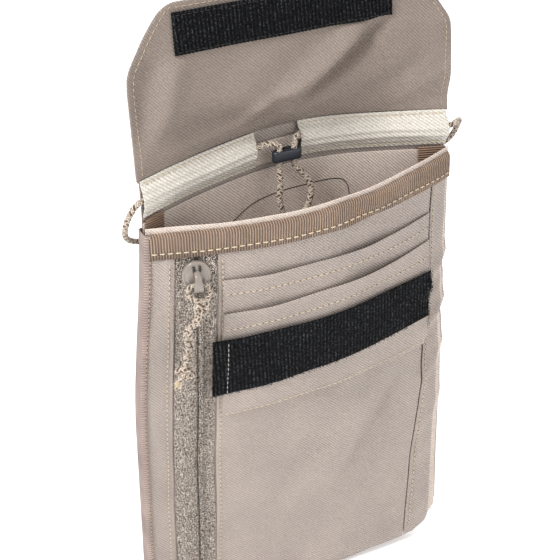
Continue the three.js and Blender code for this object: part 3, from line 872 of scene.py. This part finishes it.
pull_tip = frayed("puller_tip", (PULL_X - 11.0, PULL_Y - 2.2, -76.6), (-0.6, -0.1, -1), "zip_puller",
                  0.4, 5.0, 3)
for cord_, path_, extra in ((pull_left, pull_left_path, [knot_upper, knot_lower, pull_tip]),
                            (pull_right, pull_right_path, [])):
    tuple(c * MM for c in path_[0])
    round(path_length(path_), 3)
    metres(path_)
    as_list(extra)

# ---- front cloth
FRONT_TOP = -13.6
STEP = 1.3


def front_sheet(depth, top=FRONT_TOP, floor=False, tilt=0.0, gape=None):
    def place(S, T):
        z = T + tilt * (S - TILT_X)
        if floor:
            z = to_foot(S, T, top)
        x = across(S / HALF, z)
        d = depth + (gape(x, T) if gape else 0)
        return x, front_y(x, z, d), z
    return place


def us(low, high, step=STEP):
    return spaced(low * HALF, high * HALF, step)


panel("front_lining_cloth", us(-EDGE_U, EDGE_U, 2.5), spaced(FLOOR, -10.6, 2.5),
    front_sheet(0.5, -10.6, True), 0.5,
      "inside", ("front_lining",), warp=hung)
panel("zip_pocket_bag_cloth", us(-0.95, 0.78, 3), spaced(-205, -27, 3), front_sheet(1.15), 0.35, "inside",
      ("zip_pocket_bag",), warp=hung)


def rolled(u_fold, sign, width=2.4, height=0.5):
    """A folded edge lies a little proud beside its seam."""
    def lift(x, t):
        u = x / HALF
        return height * np.exp(-(((u - u_fold) * HALF + sign * width / 2) / (width * 0.55)) ** 2)
    return lift


panel("front_left_strip_cloth", us(-EDGE_U, STRIP_U, 0.6), spaced(FLOOR, FRONT_TOP, STEP),
      front_sheet(2.15, FRONT_TOP, True, gape=rolled(STRIP_U, 1)), 0.6, "cloth",
          ("front_left_strip",), warp=hung)
panel("front_main_panel_cloth", us(MAIN_U, 0.826, 0.9), spaced(FLOOR, FRONT_TOP, STEP),
      front_sheet(2.15, FRONT_TOP, True, gape=rolled(MAIN_U, -1)), 0.6, "cloth",
          ("front_main_panel",), warp=hung)


def wrapped(x, t):
    """The right strip turns back round the side, over its binding."""
    return rolled(RIGHT_U, -1)(x, t) - 2.7 * ramp(x / HALF, 0.93, 1.003) ** 1.6


panel("front_right_strip_cloth", us(RIGHT_U, 1.003, 0.5), spaced(FLOOR, FRONT_TOP, STEP),
      front_sheet(2.2, FRONT_TOP, True, gape=wrapped), 0.65, "cloth", ("front_right_strip",),
          warp=hung)


def gape(top, reach, amount, left=1.0):
    """A pocket's loose upper edge stands away from the cloth behind it."""
    def lift(x, t):
        share = np.clip((x + 43) / 99, 0, 1)
        lens = np.sin(PI * share) ** 0.7 * (0.7 + left * hill(x, -24, 11) + 0.9 * hill(x, 26,
            14) - 0.3 * hill(x, 2, 9))
        return amount * lens * ramp(t, top - reach, top)
    return lift


POCKETS = (("card_pocket_upper", -36.0, 3.0, 0.0, 1.3), ("card_pocket_middle", -50.4, 3.85, 0.03, 1.5),
           ("card_pocket_lower", -66.0, 4.6, 0.012, 0.2))
for name, top, depth, tilt, amount in POCKETS:
    panel(name + "_cloth", us(-0.612, 0.822, 1.0), spaced(-102.5, top, 1.0),
          front_sheet(depth, tilt=tilt, gape=gape(top, 13, amount)), 0.5, "cloth", (name,),
              warp=hung)

LOOP_TOP, LOOP_FOOT = -63.6, -89.6


def loop_z(S, T):
    """The loop strip is sewn on slightly askew, its lower edge more than its upper one."""
    return T + (0.004 + 0.049 * (LOOP_TOP - T) / (LOOP_TOP - LOOP_FOOT)) * (S - TILT_X)


def pile_sheet(S, T):
    z = loop_z(S, T)
    x = across(S / HALF, z)
    rng = np.random.RandomState(8)
    fuzz = rng.uniform(-1, 1, S.shape)
    columns = np.sin(2 * PI * S / 1.5)
    edge = np.minimum(np.minimum(S - S.min(), S.max() - S), np.minimum(T - T.min(), T.max() - T))
    soft = np.clip(edge / 1.2, 0, 1)
    x = x + 0.10 * fuzz
    z = z + 0.10 * rng.uniform(-1, 1, S.shape)
    return x, front_y(x, z, 5.7 + (0.12 * columns + 0.24 * fuzz) * soft), z


panel("loop_strip_pile", np.arange(-46.2, 56.3, 0.42), np.arange(LOOP_FOOT, LOOP_TOP + 0.1, 0.42),
    pile_sheet, 0.9, "pile",
      ("loop_strip",), warp=hung)
tufts = Bucket()
rng = np.random.RandomState(21)
for _ in range(900):
    s_, t_ = rng.uniform(-46.3, 56.4), rng.uniform(LOOP_FOOT, LOOP_TOP)
    if rng.rand() < 0.45:
        s_ = rng.choice([-46.2, 56.3]) + rng.uniform(-0.5, 0.5) if rng.rand() < 0.35 else s_
        t_ = rng.choice([LOOP_FOOT, LOOP_TOP]) + rng.uniform(-0.25, 0.25) if abs(s_) < 45 else t_
    z_ = loop_z(s_, t_)
    x_ = float(across(s_ / HALF, z_))
    base = np.array([x_, float(front_y(np.array(x_), np.array(z_), 5.5)), z_])
    lean = np.array([rng.uniform(-0.8, 0.8), -1, rng.uniform(-0.8, 0.8)])
    tufts.add(*tube([base, base + lean * 0.35, base + lean * 0.55 + rng.uniform(-0.25, 0.25, 3)],
        [0.13, 0.11, 0.05], 4))
tufts.build("loop_strip_tufts", "pile", "pouch", "hook_and_loop", warp=hung)

# ---- zip
for side, (low, high) in (("left", (-0.862, -0.7545)), ("right", (-0.7475, -0.64))):
    panel(f"zip_tape_{side}_knit", us(low, high, 0.8), spaced(FLOOR + 5, FRONT_TOP, 1.6), front_sheet(1.85),
        0.4, "zip",
          (f"zip_tape_{side}",), warp=hung)
for side, (low, high) in (("left", (-0.788, -0.7535)), ("right", (-0.7485, -0.714))):
    coil = Bucket()
    z = -28.0
    while z > -208:
        xs = np.linspace(float(across(low, z)), float(across(high, z)), 5)
        p = points_of(xs, front_y(xs, z + 0 * xs, np.array([1.9, 2.3, 2.5, 2.55, 2.2])), z + 0 * xs)
        coil.add(*tube(p, [0.35, 0.5, 0.52, 0.52, 0.42], 7))
        z -= 1.12
    coil.build(f"zip_coil_{side}_turns", "zip", "pouch", "zip_cloth", (f"zip_coil_{side}",), warp=hung)
    spine = Bucket()
    zs = np.arange(-15.0, -208, -1.0)
    spine.add(*tube(on_front(low if side == "left" else high, zs, 1.95), 0.32, 6))
    spine.build(f"zip_ridge_{side}", "zip", "pouch", "zip_cloth", warp=hung)

# painted shade: dark dashes along the gap between the two rows of coils
centre = Bucket()
zs = np.linspace(-40, -207, 400)
stitches(centre, on_front(ZIP_U, zs, 2.15), FORWARD, 1.12, 0.8, 0.34)
centre.build("zip_centre_line", "dark", "pouch", "zip_cloth", warp=hung)
gap = Bucket()
zs = np.linspace(-27.6, -15, 20)
gap.add(*tube(on_front(ZIP_U, zs, 1.5), np.linspace(1.1, 0.9, 20), 8))
gap.build("zip_gap_shadow", "dark", "pouch", "zip_cloth", warp=hung)

# slider: a domed plate, and a raised nose that the cord goes through
dome, faces = [], []
RINGS, SPOKES = 16, 56
DOME = (5.9, 6.45)            # half the width and half the height
for i in range(RINGS + 1):
    rr = math.sin(PI / 2 * i / RINGS)
    for k in range(SPOKES):
        a = 2 * PI * k / SPOKES
        side_, up_ = DOME[0] * rr * math.cos(a), DOME[1] * rr * math.sin(a)
        rise = 0.9 + 1.6 * math.sqrt(max(0.0, 1 - rr ** 3.2)) - 0.35 * math.exp(-((rr - 0.78) / 0.10) ** 2)
        dome.append(at_slider(side_, rise, up_))
for k in range(SPOKES):
    a = 2 * PI * k / SPOKES
    dome.append(at_slider(DOME[0] * math.cos(a), 0.0, DOME[1] * math.sin(a)))
for i in range(RINGS + 1):
    for k in range(SPOKES):
        n = (k + 1) % SPOKES
        if i == 0:
            faces.append((0, (i + 1) * SPOKES + k, (i + 1) * SPOKES + n))
        else:
            faces.append((i * SPOKES + k, (i + 1) * SPOKES + k, (i + 1) * SPOKES + n, i * SPOKES + n))
base = len(dome)
dome.append(at_slider(0, 0.0, 0))
for k in range(SPOKES):
    faces.append((base, (RINGS + 1) * SPOKES + (k + 1) % SPOKES, (RINGS + 1) * SPOKES + k))
used = sorted({i for f in faces for i in f})
renum = {old: new for new, old in enumerate(used)}
make("zip_slider_dome", [dome[i] for i in used], [tuple(renum[i] for i in f) for f in faces], "slider",
    "zip_slider",
     ("zip_slider_body",))
arch = [at_slider(0, 1.6, 2.6), at_slider(0, 3.4, 2.4), at_slider(0, 5.0, 1.6), at_slider(0, 5.9, -0.2),
    at_slider(0, 6.1, -2.4),
        at_slider(0, 5.6, -4.4), at_slider(0, 4.0, -5.7), at_slider(0, 1.8, -6.0)]
arch = smooth_path(arch, 0.4)
rings, NOSE_SIDES = [], 14
for i, c in enumerate(arch):
    t = i / (len(arch) - 1)
    wide = 1.25 + 0.85 * ramp(t, 0.2, 0.75)
    tang = arch[min(i + 1, len(arch) - 1)] - arch[max(i - 1, 0)]
    tang /= np.linalg.norm(tang)
    normal = np.cross(tang, SIDE)
    for k in range(NOSE_SIDES):
        a = 2 * PI * k / NOSE_SIDES
        ca, sa = math.cos(a), math.sin(a)
        rings.append(c + SIDE * wide * math.copysign(abs(ca) ** 0.7,
            ca) + normal * 0.55 * math.copysign(abs(sa) ** 0.7, sa))
# painted shade: dark tubes in the two recesses above the nose
recess = Bucket()
for side_ in (-1.25, 1.25):
    recess.add(*tube([at_slider(side_, 2.1, 4.9), at_slider(side_, 2.75, 3.8), at_slider(side_, 2.5, 2.6)],
        [0.5, 0.62, 0.5], 8))
recess.build("zip_slider_recess", "dark", "zip_slider", "slider_metal")
make("zip_slider_nose", rings, capped(len(arch), NOSE_SIDES), "slider", "zip_slider",
     ("zip_slider_bridge",))

# ---- back, seen inside and behind


def back_sheet(depth, top=0.0, floor=False):
    def place(S, T):
        z = T
        if floor:
            z = to_foot(S, T, top)
        x = across(S / HALF, z)
        return x, back_y(x, z, depth) + back_waves(x, z), z
    return place


panel("back_lining_cloth", us(-EDGE_U, EDGE_U, 1.6), spaced(FLOOR, -10, 1.6), back_sheet(0.0, -10, True), 0.5,
      "inside", ("back_lining",), warp=lifted)
panel("back_panel_cloth", us(-EDGE_U, EDGE_U, 1.6), spaced(FLOOR, LID_FOOT, 1.6),
    back_sheet(0.95, LID_FOOT, True), 0.65,
      "cloth", ("back_panel",), open_edges="n", warp=lifted)
panel("band_hem_cloth", us(-0.20, 0.085, 0.9), spaced(-7.5, 2.4, 0.8), back_sheet(-0.25), 0.5, "inside",
      ("band_hem",), warp=lifted)

# printed outline on the lining: a rounded box with no wording
frame_line = [(-31, -32), (-30.2, -29.6), (-26, -27), (-16.3, -22.6), (-3.2, -20.6), (9.5, -19.9),
    (20.1, -19.4),
              (24.8, -20.2), (26.9, -22.6), (27.6, -33)]
pts = smooth_path([(x, 0, z) for x, z in frame_line], 0.5)
line = Bucket()
line.add(*tube(points_of(pts[:, 0], back_y(pts[:, 0], pts[:, 2], -0.05) + back_waves(pts[:, 0], pts[:, 2]),
    pts[:, 2]),
               0.17, 6))
line.build("lining_print", "print", "pouch", "inner_cloth", warp=lifted)

for side, sign in (("left", -1), ("right", 1)):
    lo, hi = (-0.972, -0.87) if sign < 0 else (0.82, 0.972)
    panel(f"inner_seam_tape_{side}_cloth", us(lo, hi, 0.7), spaced(-60, -8.5, 1.2), back_sheet(-0.75), 0.5,
          "tan_side", (f"inner_seam_tape_{side}",), warp=lifted)

# ---- mouth binding: a tape folded over the rim


def folded_tape(name, profile, count, material, replaces, station):
    """Sweep a closed profile (out, along); station(k, out, along) gives the points of the ring at k."""
    profile = np.asarray(profile, float)
    verts = np.concatenate([station(k, profile[:, 0], profile[:, 1]) for k in range(count)])
    make(name, verts, capped(count, len(profile)), material, "pouch", replaces, warp=hung)


def u_profile(front, back, foot_front, foot_back, top, thick):
    """Closed outline of a folded tape: out is towards the viewer, along is up."""
    out = [(front, foot_front), (front, foot_front + 3), (front, (foot_front + top) / 2), (front, top - 2.2)]
    mid, r = (front + back) / 2, (front - back) / 2
    for a in np.linspace(0, PI, 9)[1:-1]:
        out.append((mid + r * math.cos(a), top - 2.2 + 2.2 * math.sin(a)))
    out += [(back, top - 2.2), (back, (foot_back + top) / 2), (back, foot_back)]
    inner = [(back + thick, foot_back), (back + thick, (foot_back + top) / 2), (back + thick, top - 2.3)]
    for a in np.linspace(PI, 0, 9)[1:-1]:
        inner.append((mid + (r - thick) * math.cos(a), top - 2.3 + (2.2 - thick) * math.sin(a)))
    inner += [(front - thick, top - 2.3), (front - thick, (foot_front + top) / 2),
        (front - thick, foot_front)]
    return out + inner


RIM_STATIONS = 566
rim_profile = u_profile(3.0, -0.6, -23.4, -22.6, -12.7, 0.5)
rim_u = np.linspace(-0.98, 0.98, RIM_STATIONS)


def rim_station(k, out, along):
    rib = 0.09 * math.sin(2 * PI * rim_u[k] * HALF / 1.05)
    z = along + 0.125 * math.sin(rim_u[k] * 9)
    x = across(rim_u[k], z)
    middle = 1.15
    grown = out + np.sign(out - middle) * rib * (np.abs(out - middle) > 1.6)
    return points_of(x, front_y(x, z, grown), z)


folded_tape("mouth_binding_tape", rim_profile, RIM_STATIONS, "tan", ("mouth_binding",),
    rim_station)

# ---- side and bottom binding


def edge_path():
    """The outline of the pouch from its upper left corner round the foot to the upper right."""
    def side(left):
        wide = FOOT_HALF + FLARE * left
        pts = [(float(half_width(z, left)), z) for z in np.arange(-12.4, BOTTOM_Z + CORNER, -2.0)]
        for a in np.linspace(0, PI / 2, 18):
            pts.append((wide - CORNER + CORNER * math.cos(a), BOTTOM_Z + CORNER - CORNER * math.sin(a)))
        return pts
    return [(-x, z) for x, z in side(1)] + side(0)[::-1]


outline = edge_path()
outline = resample([(x, 0, z) for x, z in outline], 0.4)
tangents = np.gradient(outline, axis=0)
tangents /= np.linalg.norm(tangents, axis=1)[:, None]
outward = points_of(tangents[:, 2], 0 * tangents[:, 0], -tangents[:, 0]) * -1
if outward[0, 0] > 0:
    outward = -outward


EDGE_OUTER = [(-2.7, -3.75), (-1.8, -3.9), (-0.6, -3.85), (0.2, -3.1), (0.44, -1.6), (0.44, 1.4), (0.2, 2.9),
    (-0.6, 3.5),
              (-1.8, 3.6), (-2.7, 3.45)]
EDGE_INNER = [(-2.7, 2.95), (-1.8, 3.1), (-0.7, 3.0), (-0.25, 2.5), (-0.1, 1.3), (-0.1, -1.5), (-0.25, -2.7),
    (-0.7, -3.35),
              (-1.8, -3.45), (-2.7, -3.25)]


def tucked(y, hidden):
    """The right binding lies flatter and further back, under the strip that wraps it."""
    return y * (1 - 0.54 * hidden) + 1.85 * hidden


def edge_binding(name, first, last, material, replaces):
    def station(k, out, along):
        i = first + k
        c, o = outline[i], outward[i]
        rib = 0.07 * math.sin(2 * PI * i * 0.4 / 1.15)
        grown = out + rib * (out > -0.6)
        hidden = float(ramp(c[0], 20, 60))
        y = tucked(along, hidden)
        grown = grown - 0.7 * hidden
        return points_of(c[0] + o[0] * grown, y, c[2] + o[2] * grown)
    folded_tape(name, EDGE_OUTER + EDGE_INNER, last - first + 1, material, replaces, station)


corner_at = [i for i, p in enumerate(outline) if p[2] < BOTTOM_Z + 0.6]
first_low, last_low = corner_at[0], corner_at[-1]
edge_binding("side_binding_left_tape", 0, first_low, "edge", ("side_binding_left",))
edge_binding("bottom_binding_tape", first_low, last_low, "edge_bottom", ("bottom_binding",))
edge_binding("side_binding_right_tape", last_low, len(outline) - 1, "edge", ("side_binding_right",))

# ---- cord channels


def channel(name, low, high, replaces):
    def place(S, T):
        t = T / 7.5
        x = S
        arch = 2.5 * np.clip(1 - (np.abs(t) / 0.78) ** 2.2, 0, 1)
        slub = 0.26 * np.sin(2 * PI * t * 2.4 + 0.6 * np.sin(x / 9)) * (1 - np.abs(t) ** 4)
        sway = 0.45 * waves(x, T, 17, 30) * np.clip(1.2 - np.abs(t), 0, 1)
        z = T + 0.55 * np.sin(x / 11.0 + 1.0) * 0.6
        y = back_y(x, T) + back_waves(x, T) - 0.75 - arch - slub - sway * 0.6
        return x, y, z
    panel(name, spaced(low, high, 0.8), spaced(-7.6, 7.6, 0.55), place, 0.6, "cream",
                 replaces, warp=lifted)


channel("channel_left_tape", -66.8, -13.6, ("channel_left",))
channel("channel_right_tape", 5.6, 66.8, ("channel_right",))

# ---- lid


LID_CREASES = (
    ((40, 54), (-1, 17), 3.6, 5.0), ((31, 54), (-9, 24), 4.6, -5.0), ((8, 30), (-4, 12), 2.6, -2.2),
    ((-6, 26), (-14, 10), 3.0, 2.4), ((-12, 26), (-24, 14), 3.2, -2.0),
    ((-22, 20), (-52, 23), 4.5, 2.2), ((-26, 13), (-54, 13), 3.6, -1.4),
    ((-56, 62), (-64, 24), 4.6, 2.2), ((-47, 54), (-56, 24), 5, -2.2), ((56, 34), (26, 14), 5, 1.8),
    ((62, 24), (42, 11), 4, -1.2), ((60, 60), (54, 34), 6, 1.0),
)


def lid_waves(x, z):
    """Slack cloth: a deep fold from the right edge down to the gathered middle, and softer ones."""
    w = creased(x, z, 0.0, LID_CREASES)
    w = w + 0.7 * waves(x, z, 29, 38)
    w = w * ramp(69 - np.abs(x), 0, 6) - 3.0 * ramp(x, 16, 70) * ramp(z, 12, 26)
    return w * ramp(z, 7.6, 15) * (1 - 0.8 * ramp(z, 48, 56))


def lid_half(z):
    return np.interp(z, [0, 42, 47, 50, 53, 57, 61, 67.4, 70.5, 72.4, 73.4, 74],
                     [68.8, 69.0, 68.6, 67.6, 66.0, 63.6, 61.2, 56.8, 54.2, 51.6, 48.6, 44.0])


def lid_sheet(depth):
    def place(S, T):
        top = 74.0
        x = S / HALF * lid_half(T)
        z = T - 0.4 * ramp(T, 60, 74) * (x / 52) ** 2
        return x, back_y(x, z, depth) + lid_waves(x, z), z
    return place


SPLIT = 26.0                  # each layer is two sheets, so that each crosses one joint only
lid_pieces = []
for name, depth, thick, material, slot_, low_node, up_node, fold_node in (
        ("lid_lining", 0.0, 0.45, "lining", "inner_cloth", "lid_lower_lining", "lid_upper_lining",
            "lid_fold_lining"),
        ("lid_outer", 0.95, 0.6, "cloth", "cloth", "lid_lower_outer", "lid_upper_outer", "lid_fold_outer")):
    lower = panel(name + "_lower", us(-EDGE_U, EDGE_U, 1.0), spaced(LID_FOOT, SPLIT, 0.8), lid_sheet(depth),
        thick, material,
                  (low_node, fold_node), ride=False, open_edges="sn", warp=lifted)
    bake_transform(lower)
    upper = panel(name + "_upper", us(-EDGE_U, EDGE_U, 1.0), spaced(SPLIT, 73.6, 1.0), lid_sheet(depth),
        thick, material,
                  (up_node,), ride=False, open_edges="s", warp=lifted)
    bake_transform(upper)
    lid_pieces += [lower, upper]


def lid_point(x, z, out):
    x, z = np.asarray(x, float), np.asarray(z, float)
    return points_of(x, back_y(x, z, -out) + lid_waves(x, z), z)


# hook strip: a stiff tape with rows of small hooks
HOOK = (-48.6, 42.6, 53.7, 70.2)


def hook_sheet(S, T):
    p = lid_point(S, T, 1.25)
    rng = np.random.RandomState(4)
    return p[..., 0] + rng.uniform(-0.03, 0.03, S.shape), p[..., 1] - 0.18 * np.sin(2 * PI * S / 1.6) \
        + rng.uniform(-0.05, 0.05, S.shape), p[..., 2]


panel("hook_strip_tape", spaced(HOOK[0], HOOK[1], 0.4), spaced(HOOK[2], HOOK[3], 0.5), hook_sheet, 0.85,
    "pile",
      ("hook_strip",), body="lid_upper")
hooks = Bucket()
rng = np.random.RandomState(9)
for i in range(int((HOOK[1] - HOOK[0]) / 0.8)):
    for j in range(13):
        x0 = HOOK[0] + 0.8 + i * 0.8
        z0 = HOOK[2] + 0.9 + j * 1.2 + (0.6 if i % 2 else 0)
        if z0 > HOOK[3] - 0.5 or x0 > HOOK[1] - 0.4 or rng.rand() < 0.08:
            continue
        p0 = lid_point(x0, z0, 1.35)
        d = rng.uniform(-0.15, 0.15, 2)
        hooks.add(*tube([p0, p0 + (d[0], -0.32, 0.05), p0 + (d[0], -0.42, 0.3 + d[1]),
            p0 + (d[0], -0.2, 0.52)],
                        [0.13, 0.12, 0.11, 0.07], 4))
hooks.build("hook_strip_hooks", "pile", "lid_upper", "hook_and_loop")

# ---- cord lock
loops = []
LOCK_SIDES, LOCK_HALF = 72, (6.35, 2.3)
LOCK_RINGS = ((-2.5, 0.80), (-2.4, 0.88), (-2.0, 0.96), (-1.3, 1.0), (1.3, 1.0), (2.0, 0.96), (2.4, 0.88),
    (2.5, 0.80))
for up_, size in LOCK_RINGS:
    for k in range(LOCK_SIDES):
        a = 2 * PI * k / LOCK_SIDES
        ca, sa = math.cos(a), math.sin(a)
        x = LOCK_HALF[0] * math.copysign(abs(ca) ** 0.62, ca)
        y = LOCK_HALF[1] * math.copysign(abs(sa) ** 0.75, sa)
        trim = (1 - size) * 2.2
        x -= math.copysign(min(abs(x), trim), x)
        y -= math.copysign(min(abs(y), trim), y)
        sag = (0.75 if up_ < 0 else 0.35) * (1 - (x / LOCK_HALF[0]) ** 2)
        loops.append((LOCK[0] + x, LOCK[1] + y, LOCK[2] + up_ + sag))
lock = make("cord_lock_bar", loops, capped(len(LOCK_RINGS), LOCK_SIDES), "lock", "cord_lock",
    ("cord_lock",))
cutters = []
for hole in (-3.3, 3.3):
    verts, cf = tube([(LOCK[0] + hole, LOCK[1], LOCK[2] - 6), (LOCK[0] + hole, LOCK[1], LOCK[2] + 6)], 1.6,
        28)
    mesh = bpy.data.meshes.new("cutter")
    mesh.from_pydata((np.asarray(verts) * MM).tolist(), [], cf)
    mesh.update()
    cutter = bpy.data.objects.new("cutter", mesh)
    bpy.context.collection.objects.link(cutter)
    mod = lock.modifiers.new("hole", "BOOLEAN")
    mod.operation = "DIFFERENCE"
    mod.solver = "EXACT"
    mod.object = cutter
    cutters.append(cutter)
bpy.context.view_layer.update()
cut = bpy.data.meshes.new_from_object(lock.evaluated_get(bpy.context.evaluated_depsgraph_get()))
lock.modifiers.clear()
lock.data = cut
for cutter in cutters:
    bpy.data.objects.remove(cutter)
for polygon in lock.data.polygons:
    polygon.use_smooth = True

# ---- stitching
rim_stitch, rim_hole_shade = Bucket(), Bucket()
u_ = np.linspace(-0.975, 0.975, 400)
z_ = -20.9 + 0.2 * np.sin(u_ * 11)
stitches(rim_stitch, on_front(u_, z_, 3.1), FORWARD, 3.1, 2.3, 0.28, hole_shade=rim_hole_shade)
rim_stitch.build("rim_stitching", "cream_thread", "pouch", "tan_tape", warp=hung)
rim_hole_shade.build("rim_stitch_holes", "hole", "pouch", "tan_tape", warp=hung)

seams, seam_hole_shade = Bucket(), Bucket()


for u, depth, pitch, length, radius in ((-0.893, 2.62, 2.5, 1.8, 0.18), (-0.611, 2.62, 2.5, 1.8, 0.18),
                                        (0.852, 2.66, 2.6, 1.9, 0.15)):
    stitches(seams, on_front(u, np.linspace(-26, -208, 300), depth), FORWARD, pitch, length, radius,
        hole_shade=seam_hole_shade)
for (name, top, depth, tilt, amount), drop in zip(POCKETS[:2], (7.0, 8.2)):
    s = np.linspace(-41, 55, 300)
    t = np.full_like(s, top - drop)
    z = t + tilt * (s - TILT_X)
    x = across(s / HALF, z)
    y = front_y(x, z, depth + gape(top, 13, amount)(x, t))
    stitches(seams, points_of(x, y, z), FORWARD, 2.6, 1.9, 0.2, hole_shade=seam_hole_shade)
s = np.linspace(-41, 55, 300)
stitches(seams, on_front(s / HALF, -101.7 + 0.037 * (s - TILT_X), 4.66), FORWARD, 2.6, 1.9, 0.17)
seams.build("front_stitching", "cream_thread", "pouch", "cloth", warp=hung)
seam_hole_shade.build("front_stitch_holes", "hole", "pouch", "cloth", warp=hung)

white = Bucket()
stitches(white, on_front(-0.594, np.linspace(-91.5, -64.8, 100), 6.1), FORWARD, 2.4, 1.5, 0.12)
white.build("loop_strip_stitching", "white_thread", "pouch", "hook_and_loop", warp=hung)

channel_thread = Bucket()
for low, high in ((-65.6, -14.4), (6.4, 65.6)):
    for t in (-6.3, 6.3):
        x = np.linspace(low, high, 300)
        z = t + 0.33 * np.sin(x / 11.0 + 1.0)
        y = back_y(x, t) + back_waves(x, t) - 0.95
        stitches(channel_thread, points_of(x, y, z), FORWARD, 2.7, 2.0, 0.19)
channel_thread.build("channel_stitching", "cream_thread", "pouch", "cream_webbing", warp=lifted)

lid_thread_low, lid_thread_high = Bucket(), Bucket()
for sign in (-1, 1):
    z = np.linspace(9, SPLIT, 80)
    stitches(lid_thread_low, lid_point(sign * (lid_half(z) * EDGE_U - 2.6), z, 0.02), FORWARD, 2.6, 1.8, 0.17)
    z = np.linspace(SPLIT, 72.5, 200)
    stitches(lid_thread_high, lid_point(sign * (lid_half(z) * EDGE_U - 2.6), z, 0.02), FORWARD, 2.6, 1.8,
        0.17)
x = np.linspace(-47, 47, 200)
stitches(lid_thread_high, lid_point(x, 71.6 + 0 * x, 0.02), FORWARD, 2.6, 1.8, 0.17)
low_thread = lid_thread_low.build("lid_stitching_lower", "cloth_thread", None, "inner_cloth", ride=False,
    warp=lifted)
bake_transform(low_thread)
high_thread = lid_thread_high.build("lid_stitching_upper", "cloth_thread", None, "inner_cloth", ride=False,
    warp=lifted)
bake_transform(high_thread)

hook_thread = Bucket()
for z0 in (HOOK[2] + 1.2, HOOK[3] - 1.2):
    x = np.linspace(HOOK[0] + 1, HOOK[1] - 1, 200)
    stitches(hook_thread, lid_point(x, z0 + 0 * x, 1.5), FORWARD, 2.4, 1.6, 0.14)
hook_thread.build("hook_strip_stitching", "dark", "lid_upper", "hook_and_loop")

edge_thread, edge_hole_shade = Bucket(), Bucket()
inset = outline + outward * -1.9
hidden = ramp(outline[:, 0], 20, 60)
for y0, out in ((-3.98, (0, -1, 0)), (3.66, (0, 1, 0))):
    p = inset.copy()
    p[:, 1] = tucked(y0, hidden)
    stitches(edge_thread, p, out, 2.2, 1.3, 0.22, hole_shade=edge_hole_shade)
edge_thread.build("edge_stitching", "cloth_thread", "pouch", "edge_tape", warp=hung)
edge_hole_shade.build("edge_stitch_holes", "hole", "pouch", "edge_tape", warp=hung)

# ---- floor, backdrop and light


def plain(name, rgb):
    m = Nodes(name, 0.9, specular=0.1)
    cloud = m.noise(3, 2)
    m.colour(m.ramp(cloud, [(0.2, tint(rgb, 0.995)), (0.8, rgb)]))
    m.shader.inputs["Emission Color"].default_value = (1, 1, 1, 1)
    m.shader.inputs["Emission Strength"].default_value = 0.25
    return m.material


def stage_mesh(name, verts, faces):
    mesh = bpy.data.meshes.new(name)
    mesh.from_pydata(verts, [], faces)
    mesh.materials.append(M["floor"])
    obj = bpy.data.objects.new(name, mesh)
    bpy.context.collection.objects.link(obj)


M["floor"] = plain("studio_floor", (252, 252, 252))
FLOOR_Z = -0.2185
REACH = 120
stage_mesh("floor", [(-REACH, -REACH, FLOOR_Z), (REACH, -REACH, FLOOR_Z), (REACH, REACH, FLOOR_Z),
    (-REACH, REACH, FLOOR_Z)],
           [(0, 1, 2, 3)])


def lamp(name, place, size, energy, look=(0, 0, -0.06), colour=(1, 1, 1)):
    data = bpy.data.lights.new(name, "AREA")
    data.shape = "RECTANGLE"
    data.size, data.size_y = size
    data.energy = energy
    data.color = colour
    obj = bpy.data.objects.new(name, data)
    bpy.context.collection.objects.link(obj)
    obj.location = place
    obj.rotation_euler = (Vector(look) - Vector(place)).to_track_quat("-Z", "Y").to_euler()


lamp("key", (-0.85, -0.25, 0.95), (0.45, 0.45), 17)
lamp("fill", (0.7, -1.2, 0.6), (1.0, 1.0), 6)
lamp("rear", (0.2, 1.0, 0.9), (1.0, 0.6), 6)
world = bpy.data.worlds.new("studio")
bpy.context.scene.world = world
world.use_nodes = True
world.node_tree.nodes["Background"].inputs["Color"].default_value = (1, 1, 1, 1)
world.node_tree.nodes["Background"].inputs["Strength"].default_value = 0.62
